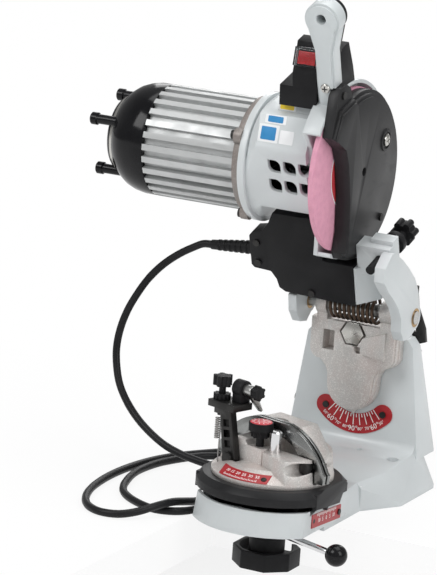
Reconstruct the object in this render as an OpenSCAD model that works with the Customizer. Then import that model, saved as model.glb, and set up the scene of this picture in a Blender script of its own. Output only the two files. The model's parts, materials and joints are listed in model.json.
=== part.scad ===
// Bench-mounted electric chain grinder with a self-centring chain vise.
// X runs to the right, Y away from the user and Z up. The bench top is z = 0 and the
// vertical axis of the vise turntable is x = y = 0, so the vise nose overhangs the bench.

/* [Grinding wheel] */
// Diameter of the grinding wheel
wheel_d = 145; // [138:1:146]
// Bore of the grinding wheel
wheel_bore = 22.3; // [20:0.1:24]
// Thickness of the grinding wheel
wheel_w = 4.7; // [3.2:0.1:5]

/* [Head] */
// Height of the head hinge above the bench
hinge_z = 160.7; // [158:0.1:164]
// Distance of the head hinge behind the turntable axis
hinge_y = 151.4; // [150:0.1:152]
// Distance from the hinge to the wheel and motor axis
arm_len = 138.7; // [136:0.1:145]
// Forward lean of the raised head, in degrees
head_lean = 18.7; // [14:0.1:22]
// Diameter of the hinge shaft
hinge_shaft_d = 12; // [9:0.5:14]

/* [Motor] */
// Diameter over the cooling fins
motor_d = 100; // [92:1:104]
// Length of the finned shell
motor_len = 90; // [80:1:100]
// Number of cooling fins
fin_n = 28; // [20:1:32]
// Depth of a cooling fin
fin_h = 5; // [3:0.5:6]
// Width of a cooling fin
fin_w = 5.4; // [3:0.2:6]
// Length of the domed end cap
cap_len = 46; // [40:1:55]
// Diameter of the motor shaft
shaft_d = 15; // [12:0.5:17]

/* [Base] */
// Half width of the foot at the bench, behind
foot_hw = 75; // [73:1:80]
// Half width of the nose and of the foot's front
nose_hw = 52; // [51:0.5:52]
// Height of the foot under the upright
foot_h = 34; // [32:0.5:36]
// Distance of the foot's back edge behind the turntable axis
foot_back = 224; // [220:1:235]
// Front face of the upright, behind the turntable axis
upright_y = 164.9; // [164:0.1:166]
// Height of the top of the upright
upright_top = 136; // [132:0.5:137]
// Wall of the base casting
base_wall = 6; // [5:0.5:7]
// Diameter of the bench bolt holes
bench_bolt_d = 10.5; // [8:0.5:13]
// Distance between the two bench bolt holes
bench_bolt_gap = 103; // [96:1:106]

/* [Swivel] */
// Height of the swivel axis
swivel_z = 89; // [88:0.1:90]
// Distance of the clamp bolt above the swivel axis
lock_r = 48.6; // [48:0.1:49.5]
// Diameter of the clamp bolt of the swivel
swivel_bolt_d = 12; // [10:0.5:13]
// Diameter of the swivel's trunnion
trunnion_d = 20; // [16:0.5:24]
// Radius of the middle of the swivel scale
scale_mid_r = 37.8; // [37:0.1:38.5]
// Width of the swivel scale
scale_band = 18.4; // [16:0.2:18.6]

/* [Vise] */
// Height of the vise tilt axis, which is where the chain lies
tilt_z = 95; // [94:0.5:96]
// Radius of the tilting platform
platform_r = 65; // [64:0.5:66]
// Half width over the platform's side lugs
lug_x = 57.5; // [57:0.5:60]
// Radius of the turntable
table_r = 52.7; // [51:0.1:54]
// Rest angle of the turntable, in degrees
table_turn = -18; // [-25:1:-10]
// Diameter of the vise clamp bolt
clamp_bolt_d = 12; // [10:0.5:12.5]
// Circumscribed radius of the octagon knob
octagon_r = 29.5; // [27:0.5:32]
// Thickness of a chain clamp plate
plate_t = 3; // [2.5:0.1:3.2]
// Width of the chain slot between the clamp plates
chain_gap = 2.2; // [1.8:0.1:3]

/* [Cord] */
// Diameter of the mains cord
cord_d = 7; // [6:0.5:7.5]

/* [Hidden] */
$fn = 64;
eps = 0.01;
run = 0.06;   // radial clearance of a running fit
seat = 0.04;  // clearance of a plate on a curved seat
gap = 0.4;    // clearance between faces that move past each other

// Stations along the motor axis, from the guard to the motor's far end
wheel_x1 = 1.1;
wheel_x0 = wheel_x1 - wheel_w;
guard_x1 = 15.9;
guard_x0 = wheel_x1 + 1;
inner_x0 = -14;
inner_wall = 4;
flange_x0 = inner_x0 + inner_wall + 1;
housing_x0 = -79;
ring_x0 = -86.5;
shell_x0 = ring_x0 - motor_len;
cap_x0 = shell_x0 - cap_len;
motor_r = motor_d / 2;
flange_bolt_r = motor_r + 4.3;
housing_r = 57;
guard_r = wheel_d / 2 + 5.5;
bearing_r = 17.5;
bearing_w = 11;

// ---------- placing helpers ----------
function arc(c, r, a0, a1, n = 12) =
    [for (i = [0:n]) let (a = a0 + (a1 - a0) * i / n) [c.x + r * cos(a), c.y + r * sin(a)]];
function mirror_x(pts) = [for (i = [len(pts) - 1:-1:0]) [-pts[i].x, pts[i].y]];

// An outline in Y and Z, drawn out along X
module along_x(x0, x1) {
    translate([x0, 0, 0]) rotate([90, 0, 90]) linear_extrude(x1 - x0) children();
}
// An outline in X and Z, drawn out along Y
module along_y(y0, y1) {
    translate([0, y1, 0]) rotate([90, 0, 0]) linear_extrude(y1 - y0) children();
}
module x_rod(x0, x1, r, r2 = undef) {
    translate([x0, 0, 0]) rotate([0, 90, 0])
        cylinder(h = x1 - x0, r1 = r, r2 = is_undef(r2) ? r : r2);
}
module y_rod(y0, y1, r) {
    translate([0, y0, 0]) rotate([-90, 0, 0]) cylinder(h = y1 - y0, r = r);
}
module box(x0, x1, y0, y1, z0, z1) {
    translate([x0, y0, z0]) cube([x1 - x0, y1 - y0, z1 - z0]);
}
// The head's own frame: the hinge is its origin and its Z runs up the arm
module in_head() {
    translate([0, hinge_y, hinge_z]) rotate([head_lean, 0, 0]) children();
}
module on_motor_axis() {
    in_head() translate([0, 0, arm_len]) children();
}
module in_table() {
    rotate([0, 0, table_turn]) children();
}
module knob_lobes(h, r, n, lobe_r) {
    union() {
        cylinder(h = h, r = r);
        for (i = [0:n - 1])
            rotate([0, 0, i * 360 / n]) translate([r, 0, 0]) cylinder(h = h, r = lobe_r, $fn = 24);
    }
}

// ---------- base ----------
nose_z0 = 4;
nose_z1 = 25;
nose_r0 = 67.5;
nose_r1 = 63.5;
nose_wall = 3.2;
keel_r = 85;
saddle_t = 6;
saddle_hx = 41;
keel_hx = 40;
keel_hy = 31;
shoulder_y = 112;
waist_y = 75;
upright_low_hw = 64;
upright_high_hw = 51.5;
upright_back_low = 204;
upright_back_high = 182;
swivel_boss_r = 17;
lock_z = swivel_z + lock_r;
swing = 40;
lock_rim = 12;
slot_hw = swivel_bolt_d / 2 + gap;
boss_y1 = upright_back_high + 7;
// Ring round the swivel axis from radius r0 to r1, over the angle a to each side of the top
module ring_part(r0, r1, a) polygon(concat(arc([0, 0], r1, 90 - a, 90 + a, 24), arc([0, 0], r0, 90 + a,
    90 - a, 24)));
roof_drop = 0.18;

module foot_front(inset) {
    hull() {
        box(-nose_hw + inset, nose_hw - inset, 0.6 + inset, waist_y + inset, -inset, 2);
        box(-nose_hw + 3 + inset, nose_hw - 3 - inset, 0.6 + inset, waist_y + inset, 20 - inset,
            21 - inset);
        box(-nose_hw + 5 + inset, nose_hw - 5 - inset, waist_y - 1, waist_y + inset, 24 - inset,
            25 - inset);
    }
}
module foot_waist(inset) {
    hull() {
        box(-nose_hw + inset, nose_hw - inset, waist_y - 1, waist_y, -inset, 25 - inset - 5);
        box(-nose_hw + 5 + inset, nose_hw - 5 - inset, waist_y - 1, waist_y, -inset, 25 - inset);
        box(-foot_hw + inset, foot_hw - inset, shoulder_y, shoulder_y + 1, -inset, 4);
        box(-foot_hw + 14 + inset, foot_hw - 14 - inset, shoulder_y, shoulder_y + 1, 4, foot_h - 4 - inset);
    }
}
module foot_rear(inset) {
    back = foot_back - inset;
    hull() {
        box(-foot_hw + inset, foot_hw - inset, shoulder_y, foot_back - 40, -inset, 4);
        box(-foot_hw + 25, foot_hw - 25, shoulder_y, back, -inset, 4);
        box(-foot_hw + 10 + inset, foot_hw - 10 - inset, shoulder_y, foot_back - 22, -inset, 4);
        box(-foot_hw + 14 + inset, foot_hw - 14 - inset, shoulder_y, foot_back - 42, 10,
            foot_h - 4 - inset);
        box(-foot_hw + 14 + inset, foot_hw - 14 - inset, upright_y, foot_back - 42, 10, foot_h - inset);
        box(-foot_hw + 34, foot_hw - 34, upright_y, back - 12, 10, foot_h - inset);
    }
}
module upright_outer() {
    hull() {
        box(-upright_low_hw, upright_low_hw, upright_y, upright_back_low, foot_h - 6, foot_h - 4);
        box(-upright_high_hw, upright_high_hw, upright_y, upright_back_high, upright_top - 8,
            upright_top - 7);
        box(-upright_high_hw + 6, upright_high_hw - 6, upright_y, upright_back_high, upright_top - 1,
            upright_top);
    }
}
module saddle() {
    along_x(-saddle_hx, saddle_hx) intersection() {
        translate([0, tilt_z]) difference() {
            circle(r = keel_r + gap + saddle_t, $fn = 128);
            circle(r = keel_r + gap, $fn = 128);
        }
        translate([-40, 0]) square([80, 30]);
    }
    for (side = [-1, 1])
        box(side > 0 ? saddle_hx - 0.5 : -nose_hw + 2, side > 0 ? nose_hw - 2 : -saddle_hx + 0.5,
            -36, 36, nose_z0, nose_z0 + 5);
}
module base_casting() color("gainsboro") {
    difference() {
        union() {
            difference() {
                union() {
                    foot_front(0);
                    foot_waist(0);
                    foot_rear(0);
                    upright_outer();
                    intersection() {
                        translate([0, 0, nose_z0])
                            cylinder(h = nose_z1 - nose_z0, r1 = nose_r0, r2 = nose_r1, $fn = 128);
                        box(-nose_hw, nose_hw, -80, 80, 0, 40);
                    }
                }
                // hollow underside of the nose and the foot
                intersection() {
                    translate([0, 0, -1]) cylinder(h = nose_z1 + 2,
                        r1 = nose_r0 - nose_wall, r2 = nose_r1 - nose_wall, $fn = 128);
                    box(-nose_hw + 4, nose_hw - 4, -80, 80, -1, 60);
                }
                foot_waist(base_wall);
                foot_rear(base_wall);
                box(-nose_hw + base_wall, nose_hw - base_wall, 40, shoulder_y, -1, 17);
                box(-foot_hw + 24, foot_hw - 24, waist_y, foot_back - 30, -1, foot_h - 12);
                // hollow back of the upright
                along_y(upright_y + base_wall, upright_back_low + 5)
                    polygon([[-upright_low_hw + base_wall + 2, foot_h], [upright_low_hw - base_wall - 2,
                        foot_h],
                             [upright_high_hw - base_wall, upright_top - base_wall - 4],
                             [-upright_high_hw + base_wall, upright_top - base_wall - 4]]);
            }
            saddle();
            for (side = [-1, 1])
                translate([side * bench_bolt_gap / 2, 140, 0]) cylinder(h = foot_h - 7, r = 11);
            // boss of the trunnion and rim of the clamp bolt's slot
            translate([0, 0, swivel_z]) {
                y_rod(upright_y, boss_y1, swivel_boss_r);
                along_y(upright_y, boss_y1) ring_part(lock_r - lock_rim, lock_r + lock_rim, swing + 17);
            }
            // cove between the foot and the upright
            difference() {
                box(-upright_low_hw + 3, upright_low_hw - 3, upright_y - 9, upright_y + 2, foot_h - 5,
                    foot_h + 8);
                along_x(-70, 70) translate([upright_y - 9, foot_h + 8]) circle(r = 9);
            }
        }
        // room for the tilting platform
        translate([0, 0, nose_z1]) cylinder(h = 40, r = platform_r + 3, $fn = 128);
        intersection() {
            cylinder(h = 70, r = nose_r1 - nose_wall, $fn = 128);
            along_x(-60, 60) polygon([[-75, 26 - 75 * roof_drop], [0, 26], [75, 26 - 75 * roof_drop],
                                      [75, 60], [-75, 60]]);
        }
        // slot in which the clamp bolt tilts
        box(-8.5, 8.5, -25, 25, nose_z0 - 3, 30);
        for (side = [-1, 1])
            translate([side * bench_bolt_gap / 2, 140, -1]) cylinder(h = foot_h + 2, d = bench_bolt_d);
        translate([15, 149, foot_h - 12]) cylinder(h = 20, d = 5);
        translate([0, 0, swivel_z]) {
            y_rod(upright_y - 1, boss_y1 + 1, trunnion_d / 2 + run);
            along_y(upright_y - 1, boss_y1 + 1)
                ring_part(lock_r - slot_hw + 0.05, lock_r + slot_hw - 0.05, swing);
            for (side = [-1, 1]) rotate([0, side * swing, 0]) translate([0, 0, lock_r])
                y_rod(upright_y - 1, boss_y1 + 1, slot_hw);
        }
    }
}
scale_t = 0.8;
scale_half_angle = 48;
module swivel_scale() color("crimson")
    along_y(upright_y - scale_t, upright_y) translate([0, swivel_z]) difference() {
        union() {
            polygon(concat(
                arc([0, 0], scale_mid_r + scale_band / 2, -90 - scale_half_angle, -90 + scale_half_angle,
                    24),
                arc([0, 0], scale_mid_r - scale_band / 2, -90 + scale_half_angle, -90 - scale_half_angle,
                    24)));
            for (side = [-1, 1])
                rotate(side * scale_half_angle) translate([0, -scale_mid_r]) circle(d = scale_band);
        }
        for (side = [-1, 1])
            rotate(side * scale_half_angle) translate([0, -scale_mid_r]) circle(d = rivet_d);
    }
rivet_d = 4;
tilt_scale_y = [-27, 31];
tilt_scale_z = [7, 19];
module tilt_scale() color("crimson")
    along_x(nose_hw, nose_hw + scale_t) difference() {
        polygon([[tilt_scale_y[0], tilt_scale_z[0] + 2], [tilt_scale_y[1], tilt_scale_z[0] - 2],
                 [tilt_scale_y[1], tilt_scale_z[1] - 2], [tilt_scale_y[0], tilt_scale_z[1] + 2]]);
        for (y = tilt_scale_y)
            translate([y + (y < 0 ? 4 : -4), 13 - y * 0.06]) circle(d = rivet_d);
    }
module scale_rivets() color("dimgray") {
    for (side = [-1, 1])
        translate([0, 0, swivel_z]) rotate([0, side * scale_half_angle, 0])
            translate([0, 0, -scale_mid_r]) {
                y_rod(upright_y - scale_t, upright_y, rivet_d / 2);
                y_rod(upright_y - scale_t - 1.2, upright_y - scale_t, 3);
            }
    for (y = tilt_scale_y)
        translate([0, y + (y < 0 ? 4 : -4), 13 - y * 0.06]) {
            x_rod(nose_hw, nose_hw + scale_t, rivet_d / 2);
            if (y > 0) x_rod(nose_hw + scale_t, nose_hw + scale_t + 1, 2.6);
        }
}
bolt_head_y = 153;
module swivel_bolt() color("silver") translate([0, 0, lock_z]) {
    y_rod(bolt_head_y, boss_y1 + 16, swivel_bolt_d / 2);
    translate([0, bolt_head_y - 7, 0]) rotate([-90, 0, 0]) cylinder(h = 7, r = 11, $fn = 6);
    translate([0, boss_y1 + 9.2, 0]) rotate([-90, 0, 0]) difference() {
        cylinder(h = 6, r = 10.5, $fn = 6);
        translate([0, 0, -1]) cylinder(h = 8, d = swivel_bolt_d - 1);
    }
}

// ---------- swivel ----------
plate_y0 = 147;
plate_y1 = upright_y - scale_t - 0.3;
plate_top = 146.4;
barrel_r = 10;
pointer_r = 29.5;
barrel_left = [-36, -26];
barrel_right = [26, 42];
function plate_half(k) = concat(
    arc([0, swivel_z], k, -84, 0, 8),
    [[k + 0.5, 98], [k + 3, 104], [k + 9, 110]],
    arc([k + 9, 120], 10.5, -75, -8, 6),
    [[k + 19.5, plate_top]]);
module plate_slab(k, y0, y1)
    along_y(y0, y1) polygon(concat(plate_half(k), mirror_x(plate_half(k))));
module swivel_plate() color("silver") {
    difference() {
        union() {
            plate_slab(21, plate_y0, plate_y0 + 3);
            plate_slab(22.5, plate_y0 + 3, plate_y0 + 8);
            plate_slab(23.5, plate_y0 + 8, plate_y1);
            along_y(plate_y1 - 2, plate_y1)
                polygon([[-7, swivel_z - 20], [0, swivel_z - pointer_r], [7, swivel_z - 20]]);
            translate([0, 0, swivel_z]) {
                y_rod(plate_y1 - 2, upright_y - 0.1, 16);
                y_rod(plate_y1 - 2, boss_y1 - 1, trunnion_d / 2);
            }
            for (b = [barrel_left, barrel_right]) {
                translate([0, hinge_y, hinge_z]) x_rod(b[0], b[1], barrel_r);
                box(b[0], b[1], plate_y0, plate_y1, plate_top - 4, hinge_z);
            }
            // raised wedge beside the bolt head
            along_y(plate_y0 - 4, plate_y0) polygon([[-1, 131], [33, 143], [33, 118], [4, 122]]);
        }
        translate([0, 0, lock_z]) y_rod(plate_y0 - 8, upright_y + 1, swivel_bolt_d / 2 + run);
        translate([0, plate_y0 - 8, lock_z]) rotate([-90, 0, 0])
            cylinder(h = bolt_head_y + 0.1 - plate_y0 + 8, r = 13, $fn = 6);
        translate([0, hinge_y, hinge_z]) x_rod(-60, 60, hinge_shaft_d / 2);
        box(-28.5, -17.5, plate_y0 - 1, plate_y1 - 3, 119, 137);
        along_y(plate_y0 - 5, plate_y0 + 6) polygon([[4, 120], [10, 120], [10, 127], [4, 127]]);
    }
}
shaft_end = 58;
module hinge_shaft() color("silver") translate([0, hinge_y, hinge_z]) {
    x_rod(-54, shaft_end, hinge_shaft_d / 2);
}
spring_wire = 3;
spring_mean_r = 11.3;
spring_turns = 10;
spring_pitch = 4.5;
spring_x0 = -23;
spring_rings = 8;
spring_sides = 6;
// Least gap between neighbouring turns of the torsion spring
echo(torsion_spring_gap = spring_pitch - spring_wire);
function helix_point(i, r, pitch, per_turn) =
    let (a = 360 * i / per_turn) [pitch * i / per_turn, r * cos(a), r * sin(a)];
// A wire swept along points: each ring stands square to the path
function unit(v) = v / norm(v);
function path_dir(p, i) = unit(p[min(i + 1, len(p) - 1)] - p[max(i - 1, 0)]);
function ring_pts(c, d, r, n, up) =
    let (s = unit(cross(d, up)), t = cross(s, d))
    [for (k = [0:n - 1]) c + r * (cos(360 * k / n) * s + sin(360 * k / n) * t)];
module tube(path, r, n, up = [0.02, 0.01, 1]) {
    m = len(path);
    rings = [for (i = [0:m - 1]) each ring_pts(path[i], path_dir(path, i), r, n, up)];
    sides = [for (i = [0:m - 2]) for (k = [0:n - 1])
        let (a = i * n + k, b = i * n + (k + 1) % n) each [[a, b + n, b], [a, a + n, b + n]]];
    start_cap = [for (k = [0:n - 1]) k];
    end_cap = [for (k = [n - 1:-1:0]) (m - 1) * n + k];
    polyhedron(points = rings, faces = concat(sides, [start_cap, end_cap]), convexity = 12);
}
module torsion_spring() color("saddlebrown") {
    steps = spring_turns * spring_rings;
    coil = [for (i = [0:steps]) helix_point(i, spring_mean_r, spring_pitch, spring_rings)
        + [spring_x0, hinge_y, hinge_z]];
    tube(coil, spring_wire / 2, spring_sides, [1, 0.02, 0.01]);
}
lever_y = boss_y1;
module swivel_lock_lever() color("dimgray") translate([0, 0, lock_z]) {
    difference() {
        union() {
            y_rod(lever_y + gap, lever_y + 9, 13);
            along_y(lever_y + 3, lever_y + 7)
                polygon([[0, -6], [44, -11], [52, -8], [50, 4], [42, 22], [40, 34], [34, 34], [37, 18],
                    [42, 0], [0, 8]]);
        }
        y_rod(lever_y - 1, lever_y + 12, swivel_bolt_d / 2 + run);
    }
    translate([37, lever_y + 5, 37]) cylinder(h = 9, r = 3.4, center = true);
}

// ---------- head casting ----------
box_face = -31;
box_back = -15;
box_x0 = -86;
box_x1 = 14;
fork_right = [47, 57];
fork_left = [-53, -45];
fork_outline = concat(
    arc([0, 0], 11, -100, 20, 10),
    [[9, 24], [4, 38], [-6, 53], [-18, 68], [-28, 78]],
    arc([-38, 76], 8, 20, 120, 5),
    [[-54, 78], [-58, 66], [-50, 52], [-41, 40], [-33, 27], [-29, 14], [-31, 2], [-27, -9], [-15, -13]]);
module fork_arm(x0, x1) along_x(x0, x1) polygon(fork_outline);
module left_ear() along_x(fork_left[0], fork_left[1])
    polygon(concat(arc([0, 0], 12, -100, 60, 10),
        [[2, 24], [box_back + 0.2, 24], [box_back + 0.2, 19.5], [-28, 19], [-30, 4], [-24, -10], [-12,
            -16]]));
ear_y = -12;
// Top of the arm's rear web, which carries the motor housing
web_top = arm_len - housing_r + 2.3;
stop_x = 38;
stop_z = 69;
stop_rod_r = 4;
module head_arm() color("gainsboro") in_head() difference() {
    union() {
        fork_arm(fork_right[0], fork_right[1]);
        left_ear();
        // rear web of the arm, which the wiring box covers
        box(fork_left[0], -15.3, box_back, 10, 18, web_top);
        box(-16, guard_x1 + 2, box_back, 10, 18, 58);
        difference() {
            box(-60, -16, box_back, 34, web_top - 8, web_top + 16);
            translate([0, 0, arm_len]) x_rod(-62, 0, housing_r - 3);
        }
        // beam from the web to the fork arm and the depth-stop ear
        box(guard_x1 + gap, fork_right[0] + 1, -26, -8, 52, 80);
        translate([0, ear_y, 0]) box(stop_x - 11, fork_right[0] + 1, -6, 6, 52, 84);
        // gusset beside the wiring box
        translate([0, 0, 22]) linear_extrude(36)
            polygon([[box_x1 + 0.2, box_face + 1], [box_x1 + 2, box_face + 1], [32, -14], [32, -9],
                [box_x1 + 0.2, -9]]);
    }
    x_rod(-70, 70, hinge_shaft_d / 2 + 2.5);
    // hollow behind the wiring box, and room for the spring
    box(-46, 8, box_back - 1, 4, 24, 72);
    x_rod(-44.5, 46.5, 17.5);
    translate([stop_x, 0, stop_z]) y_rod(-40, 10, stop_rod_r + run);
}
module arm_bushes() color("darkgoldenrod") in_head()
    for (b = [[fork_left[0], fork_left[1]], [fork_right[0], fork_right[1]]])
        difference() {
            x_rod(b[0], b[1], hinge_shaft_d / 2 + 2.5);
            x_rod(b[0] - 1, b[1] + 1, hinge_shaft_d / 2 + run);
        }
// Round at the motor, flat in front and rising towards the switch
panel_y = -50;
neck_top = 70;
function housing_profile(d) = concat(
    arc([-44 + d, -18 + d], 6, 180, 270, 4),
    arc([0, 0], housing_r - 3 - d, -70, 60, 16),
    [[22 - d, 60 - d], [-34 + d, 62 - d]],
    arc([-44 + d, 34 - d], 6, 120, 180, 4));
vent_w = 12;
vent_h = 12;
vent_x = [-51, -36.5, -22];
vent_z = [14, -4.5];
// A square hole with two opposite corners fully rounded
module vent_shape() polygon(concat(arc([vent_w / 2, vent_h / 2], vent_w / 2, 180, 270, 6), [[vent_w, 0]],
    arc([vent_w / 2, vent_h / 2], vent_w / 2, 0, 90, 6), [[0, vent_h]]));
module motor_housing() color("gainsboro") on_motor_axis() difference() {
    union() {
        difference() {
            union() {
                x_rod(housing_x0, housing_x0 + 6, housing_r);
                hull() {
                    x_rod(housing_x0 + 6, housing_x0 + 7, housing_r - 4);
                    along_x(-62.5, -62) polygon(housing_profile(0));
                }
                along_x(-62.2, inner_x0) polygon(housing_profile(0));
                along_x(-50, inner_x0) polygon([[-30, 50], [-22, neck_top], [22, neck_top], [24, 50]]);
            }
            hull() {
                x_rod(housing_x0 + 5, housing_x0 + 6, housing_r - 8);
                along_x(-62.5, -62) polygon(housing_profile(4));
            }
            along_x(-62.2, inner_x0 - 4) polygon(housing_profile(4));
        }
        x_rod(inner_x0 - bearing_w - 1, inner_x0 - 1, bearing_r + 4);
    }
    x_rod(housing_x0 - 1, housing_x0 + 7, 44);
    x_rod(inner_x0 - bearing_w, inner_x0 + 1, bearing_r);
    x_rod(inner_x0 - bearing_w - 2, inner_x0, bearing_r - 4);
    for (z = vent_z) for (x = vent_x)
        translate([x, 0, z]) along_y(panel_y - 6, -34) vent_shape();
}
module motor_flange() color("darkgray") on_motor_axis() difference() {
    union() {
        x_rod(ring_x0, housing_x0, motor_r + 2.5);
        for (a = [45:90:315]) rotate([a, 0, 0]) translate([0, 0, flange_bolt_r - 2]) x_rod(ring_x0,
            housing_x0, 7);
    }
    x_rod(ring_x0 - 1, housing_x0 + 1, 44);
    for (a = [45:90:315]) rotate([a, 0, 0]) translate([0, 0, flange_bolt_r]) x_rod(ring_x0 - 1,
        housing_x0 + 1, 2.5);
}
shell_in_r = motor_r - fin_h - 3;
module motor_shell() color("silver") on_motor_axis() difference() {
    union() {
        x_rod(shell_x0, ring_x0, motor_r - fin_h);
        for (i = [0:fin_n - 1]) rotate([(i + 0.5) * 360 / fin_n, 0, 0])
            box(shell_x0, ring_x0, -fin_w / 2, fin_w / 2, motor_r - fin_h - 1, motor_r);
    }
    x_rod(shell_x0 - 1, ring_x0 + 1, shell_in_r);
}
cap_wall = 3;
module motor_cap() color("#202020") on_motor_axis() difference() {
    union() {
        x_rod(shell_x0 - 10, shell_x0, motor_r);
        x_rod(shell_x0 - 30, shell_x0 - 10, motor_r - 9, motor_r);
        x_rod(cap_x0, shell_x0 - 30, motor_r - 22, motor_r - 9);
        for (a = [45:90:315]) rotate([a, 0, 0]) translate([0, 0, motor_r - 15]) {
            x_rod(cap_x0 - 12, shell_x0 - 8, 4.4);
            x_rod(cap_x0 - 15, cap_x0 - 8, 5.6);
        }
    }
    difference() {
        union() {
            x_rod(shell_x0 - 10, shell_x0 + 1, motor_r - 3);
            x_rod(shell_x0 - 30, shell_x0 - 10, motor_r - 9 - cap_wall, motor_r - cap_wall);
            x_rod(cap_x0 + cap_wall, shell_x0 - 30, motor_r - 22 - cap_wall, motor_r - 9 - cap_wall);
        }
        x_rod(cap_x0, shell_x0 - 20, bearing_r + 3);
    }
    x_rod(cap_x0 + cap_wall + 4, shell_x0, bearing_r);
}
stator_x = [-168, -104];
rotor_r = 26;
module motor_stator() color("sienna") on_motor_axis() difference() {
    union() {
        x_rod(stator_x[0], stator_x[1], shell_in_r);
        x_rod(stator_x[0] - 7, stator_x[1] + 8, shell_in_r - 6);
    }
    x_rod(stator_x[0] - 10, stator_x[1] + 12, rotor_r + 0.8);
}
rear_bearing_x = shell_x0 - 36;
front_bearing_x = inner_x0 - bearing_w;
module motor_bearings() color("lightgray") on_motor_axis()
    for (x = [rear_bearing_x, front_bearing_x]) difference() {
        x_rod(x, x + bearing_w, bearing_r);
        x_rod(x - 1, x + bearing_w + 1, shaft_d / 2 + run);
    }
module rotor_shaft() color("silver") on_motor_axis() {
    x_rod(rear_bearing_x + 1, flange_x0, shaft_d / 2);
    x_rod(flange_x0, wheel_x1 + 9.9, arbor_d / 2);
}
arbor_d = 12;
module rotor_core() color("slategray") on_motor_axis() difference() {
    x_rod(stator_x[0] - 4, stator_x[1] + 4, rotor_r);
    x_rod(stator_x[0] - 6, stator_x[1] + 6, shaft_d / 2);
}
fan_x = [-74, -60];
fan_r = 33;
module cooling_fan() color("#303030") on_motor_axis() difference() {
    union() {
        x_rod(fan_x[0], fan_x[0] + 2, fan_r);
        x_rod(fan_x[0], fan_x[1], 13);
        for (i = [0:8]) rotate([i * 40, 0, 0]) box(fan_x[0], fan_x[1], -0.9, 0.9, 12, fan_r);
    }
    x_rod(fan_x[0] - 1, fan_x[1] + 1, shaft_d / 2);
}
wheel_hub_r = 26;
module wheel_flanges() color("lightgray") on_motor_axis() {
    difference() {
        union() {
            x_rod(flange_x0, wheel_x0, wheel_hub_r);
            x_rod(wheel_x0, wheel_x1 - 0.4, wheel_bore / 2 - 0.05);
        }
        x_rod(flange_x0 - 1, wheel_x1 + 1, arbor_d / 2);
    }
    difference() {
        x_rod(wheel_x1, wheel_x1 + 3.4, wheel_hub_r);
        x_rod(wheel_x1 - 1, wheel_x1 + 8, arbor_d / 2);
    }
}
module grinding_wheel() color("pink") on_motor_axis() difference() {
    x_rod(wheel_x0, wheel_x1, wheel_d / 2, $fn = 128);
    x_rod(wheel_x0 - 1, wheel_x1 + 1, wheel_bore / 2);
}
module wheel_nut() color("gray") on_motor_axis() difference() {
    translate([wheel_x1 + 3.4, 0, 0]) rotate([0, 90, 0]) cylinder(h = 6.5, r = 10.5, $fn = 6);
    x_rod(wheel_x1, wheel_x1 + 12, arbor_d / 2);
}
// Inner guard: a cast disc with a rim round the wheel, open where the wheel shows
open_top = 132;
open_low = 231;
module wheel_guard_inner() color("gainsboro") on_motor_axis() difference() {
    union() {
        along_x(inner_x0, inner_x0 + inner_wall)
            polygon(concat(arc([0, 0], guard_r + 1, open_low, 360 + open_top, 48), [[-44, 40], [-44,
                -44]]));
        along_x(inner_x0 + inner_wall, guard_x0) difference() {
            polygon(concat(arc([0, 0], guard_r + 1, open_low, 360 + open_top, 48),
                           arc([0, 0], guard_r - 2.5, 360 + open_top, open_low, 48)));
        }
    }
    x_rod(inner_x0 - 1, inner_x0 + inner_wall + 1, bearing_r - 5);
}
cover_c = [0, -4];
cover_r = guard_r - 3;
bump_h = 15;
// Round outline of radius r, open towards the wheel, with a bump b high beside the handle
function cover_outline(r, b) = concat(
    arc(cover_c, r, -126, 92, 40),
    [[-5, r + 0.5 * b], [-12, r + 0.93 * b], [-24, r + b], [-31, r + 0.67 * b], [-47,
        54 + (r - cover_r) / 3],
     [-31, 36], [-28, 20], [-30, -12], [-37, -42], [-46, -58]]);
module wheel_guard_cover() color("#333333") on_motor_axis() difference() {
    union() {
        along_x(guard_x0, 11) polygon(cover_outline(cover_r, bump_h));
        along_x(11, 14) polygon(cover_outline(cover_r - 3, 0));
        along_x(14, guard_x1) polygon(cover_outline(cover_r - 6, 0));
    }
    // room for the flange and nut behind the cover
    x_rod(guard_x0 - 1, 12.6, wheel_hub_r + 1);
    along_x(guard_x0 - 1, 6) polygon(cover_outline_in);
    x_rod(10, 20, 4);
}
cover_outline_in = concat(arc(cover_c, cover_r - 5, -110, 96, 30),
    [[-24, 60], [-24, -12], [-31, -42], [-36, -58]]);
cover_screws = [[-20, cover_r + 7, 11], [44, 8, guard_x1], [26, -58, guard_x1]];
module head_screws() color("dimgray") {
    on_motor_axis() {
        for (p = cover_screws) translate([0, p[0], p[1]]) x_rod(p[2], p[2] + 1.6, 3.4);
        for (a = [45:90:315]) rotate([a, 0, 0]) translate([0, 0, flange_bolt_r]) {
            x_rod(ring_x0, housing_x0, 2.5);
            x_rod(ring_x0 - 3, ring_x0, 4.1);
        }
    }
    on_motor_axis() translate([handle_x, 0, handle_foot_z + 17]) y_rod(handle_y0 - 1.6, handle_y0, 3.6);
    in_head() for (p = box_screws) translate([p[0], 0, p[1]]) y_rod(box_face - 1.4, box_face, 3.2);
}
box_screws = [[-79, 68], [-79, 48], [-28, 26]];

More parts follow.
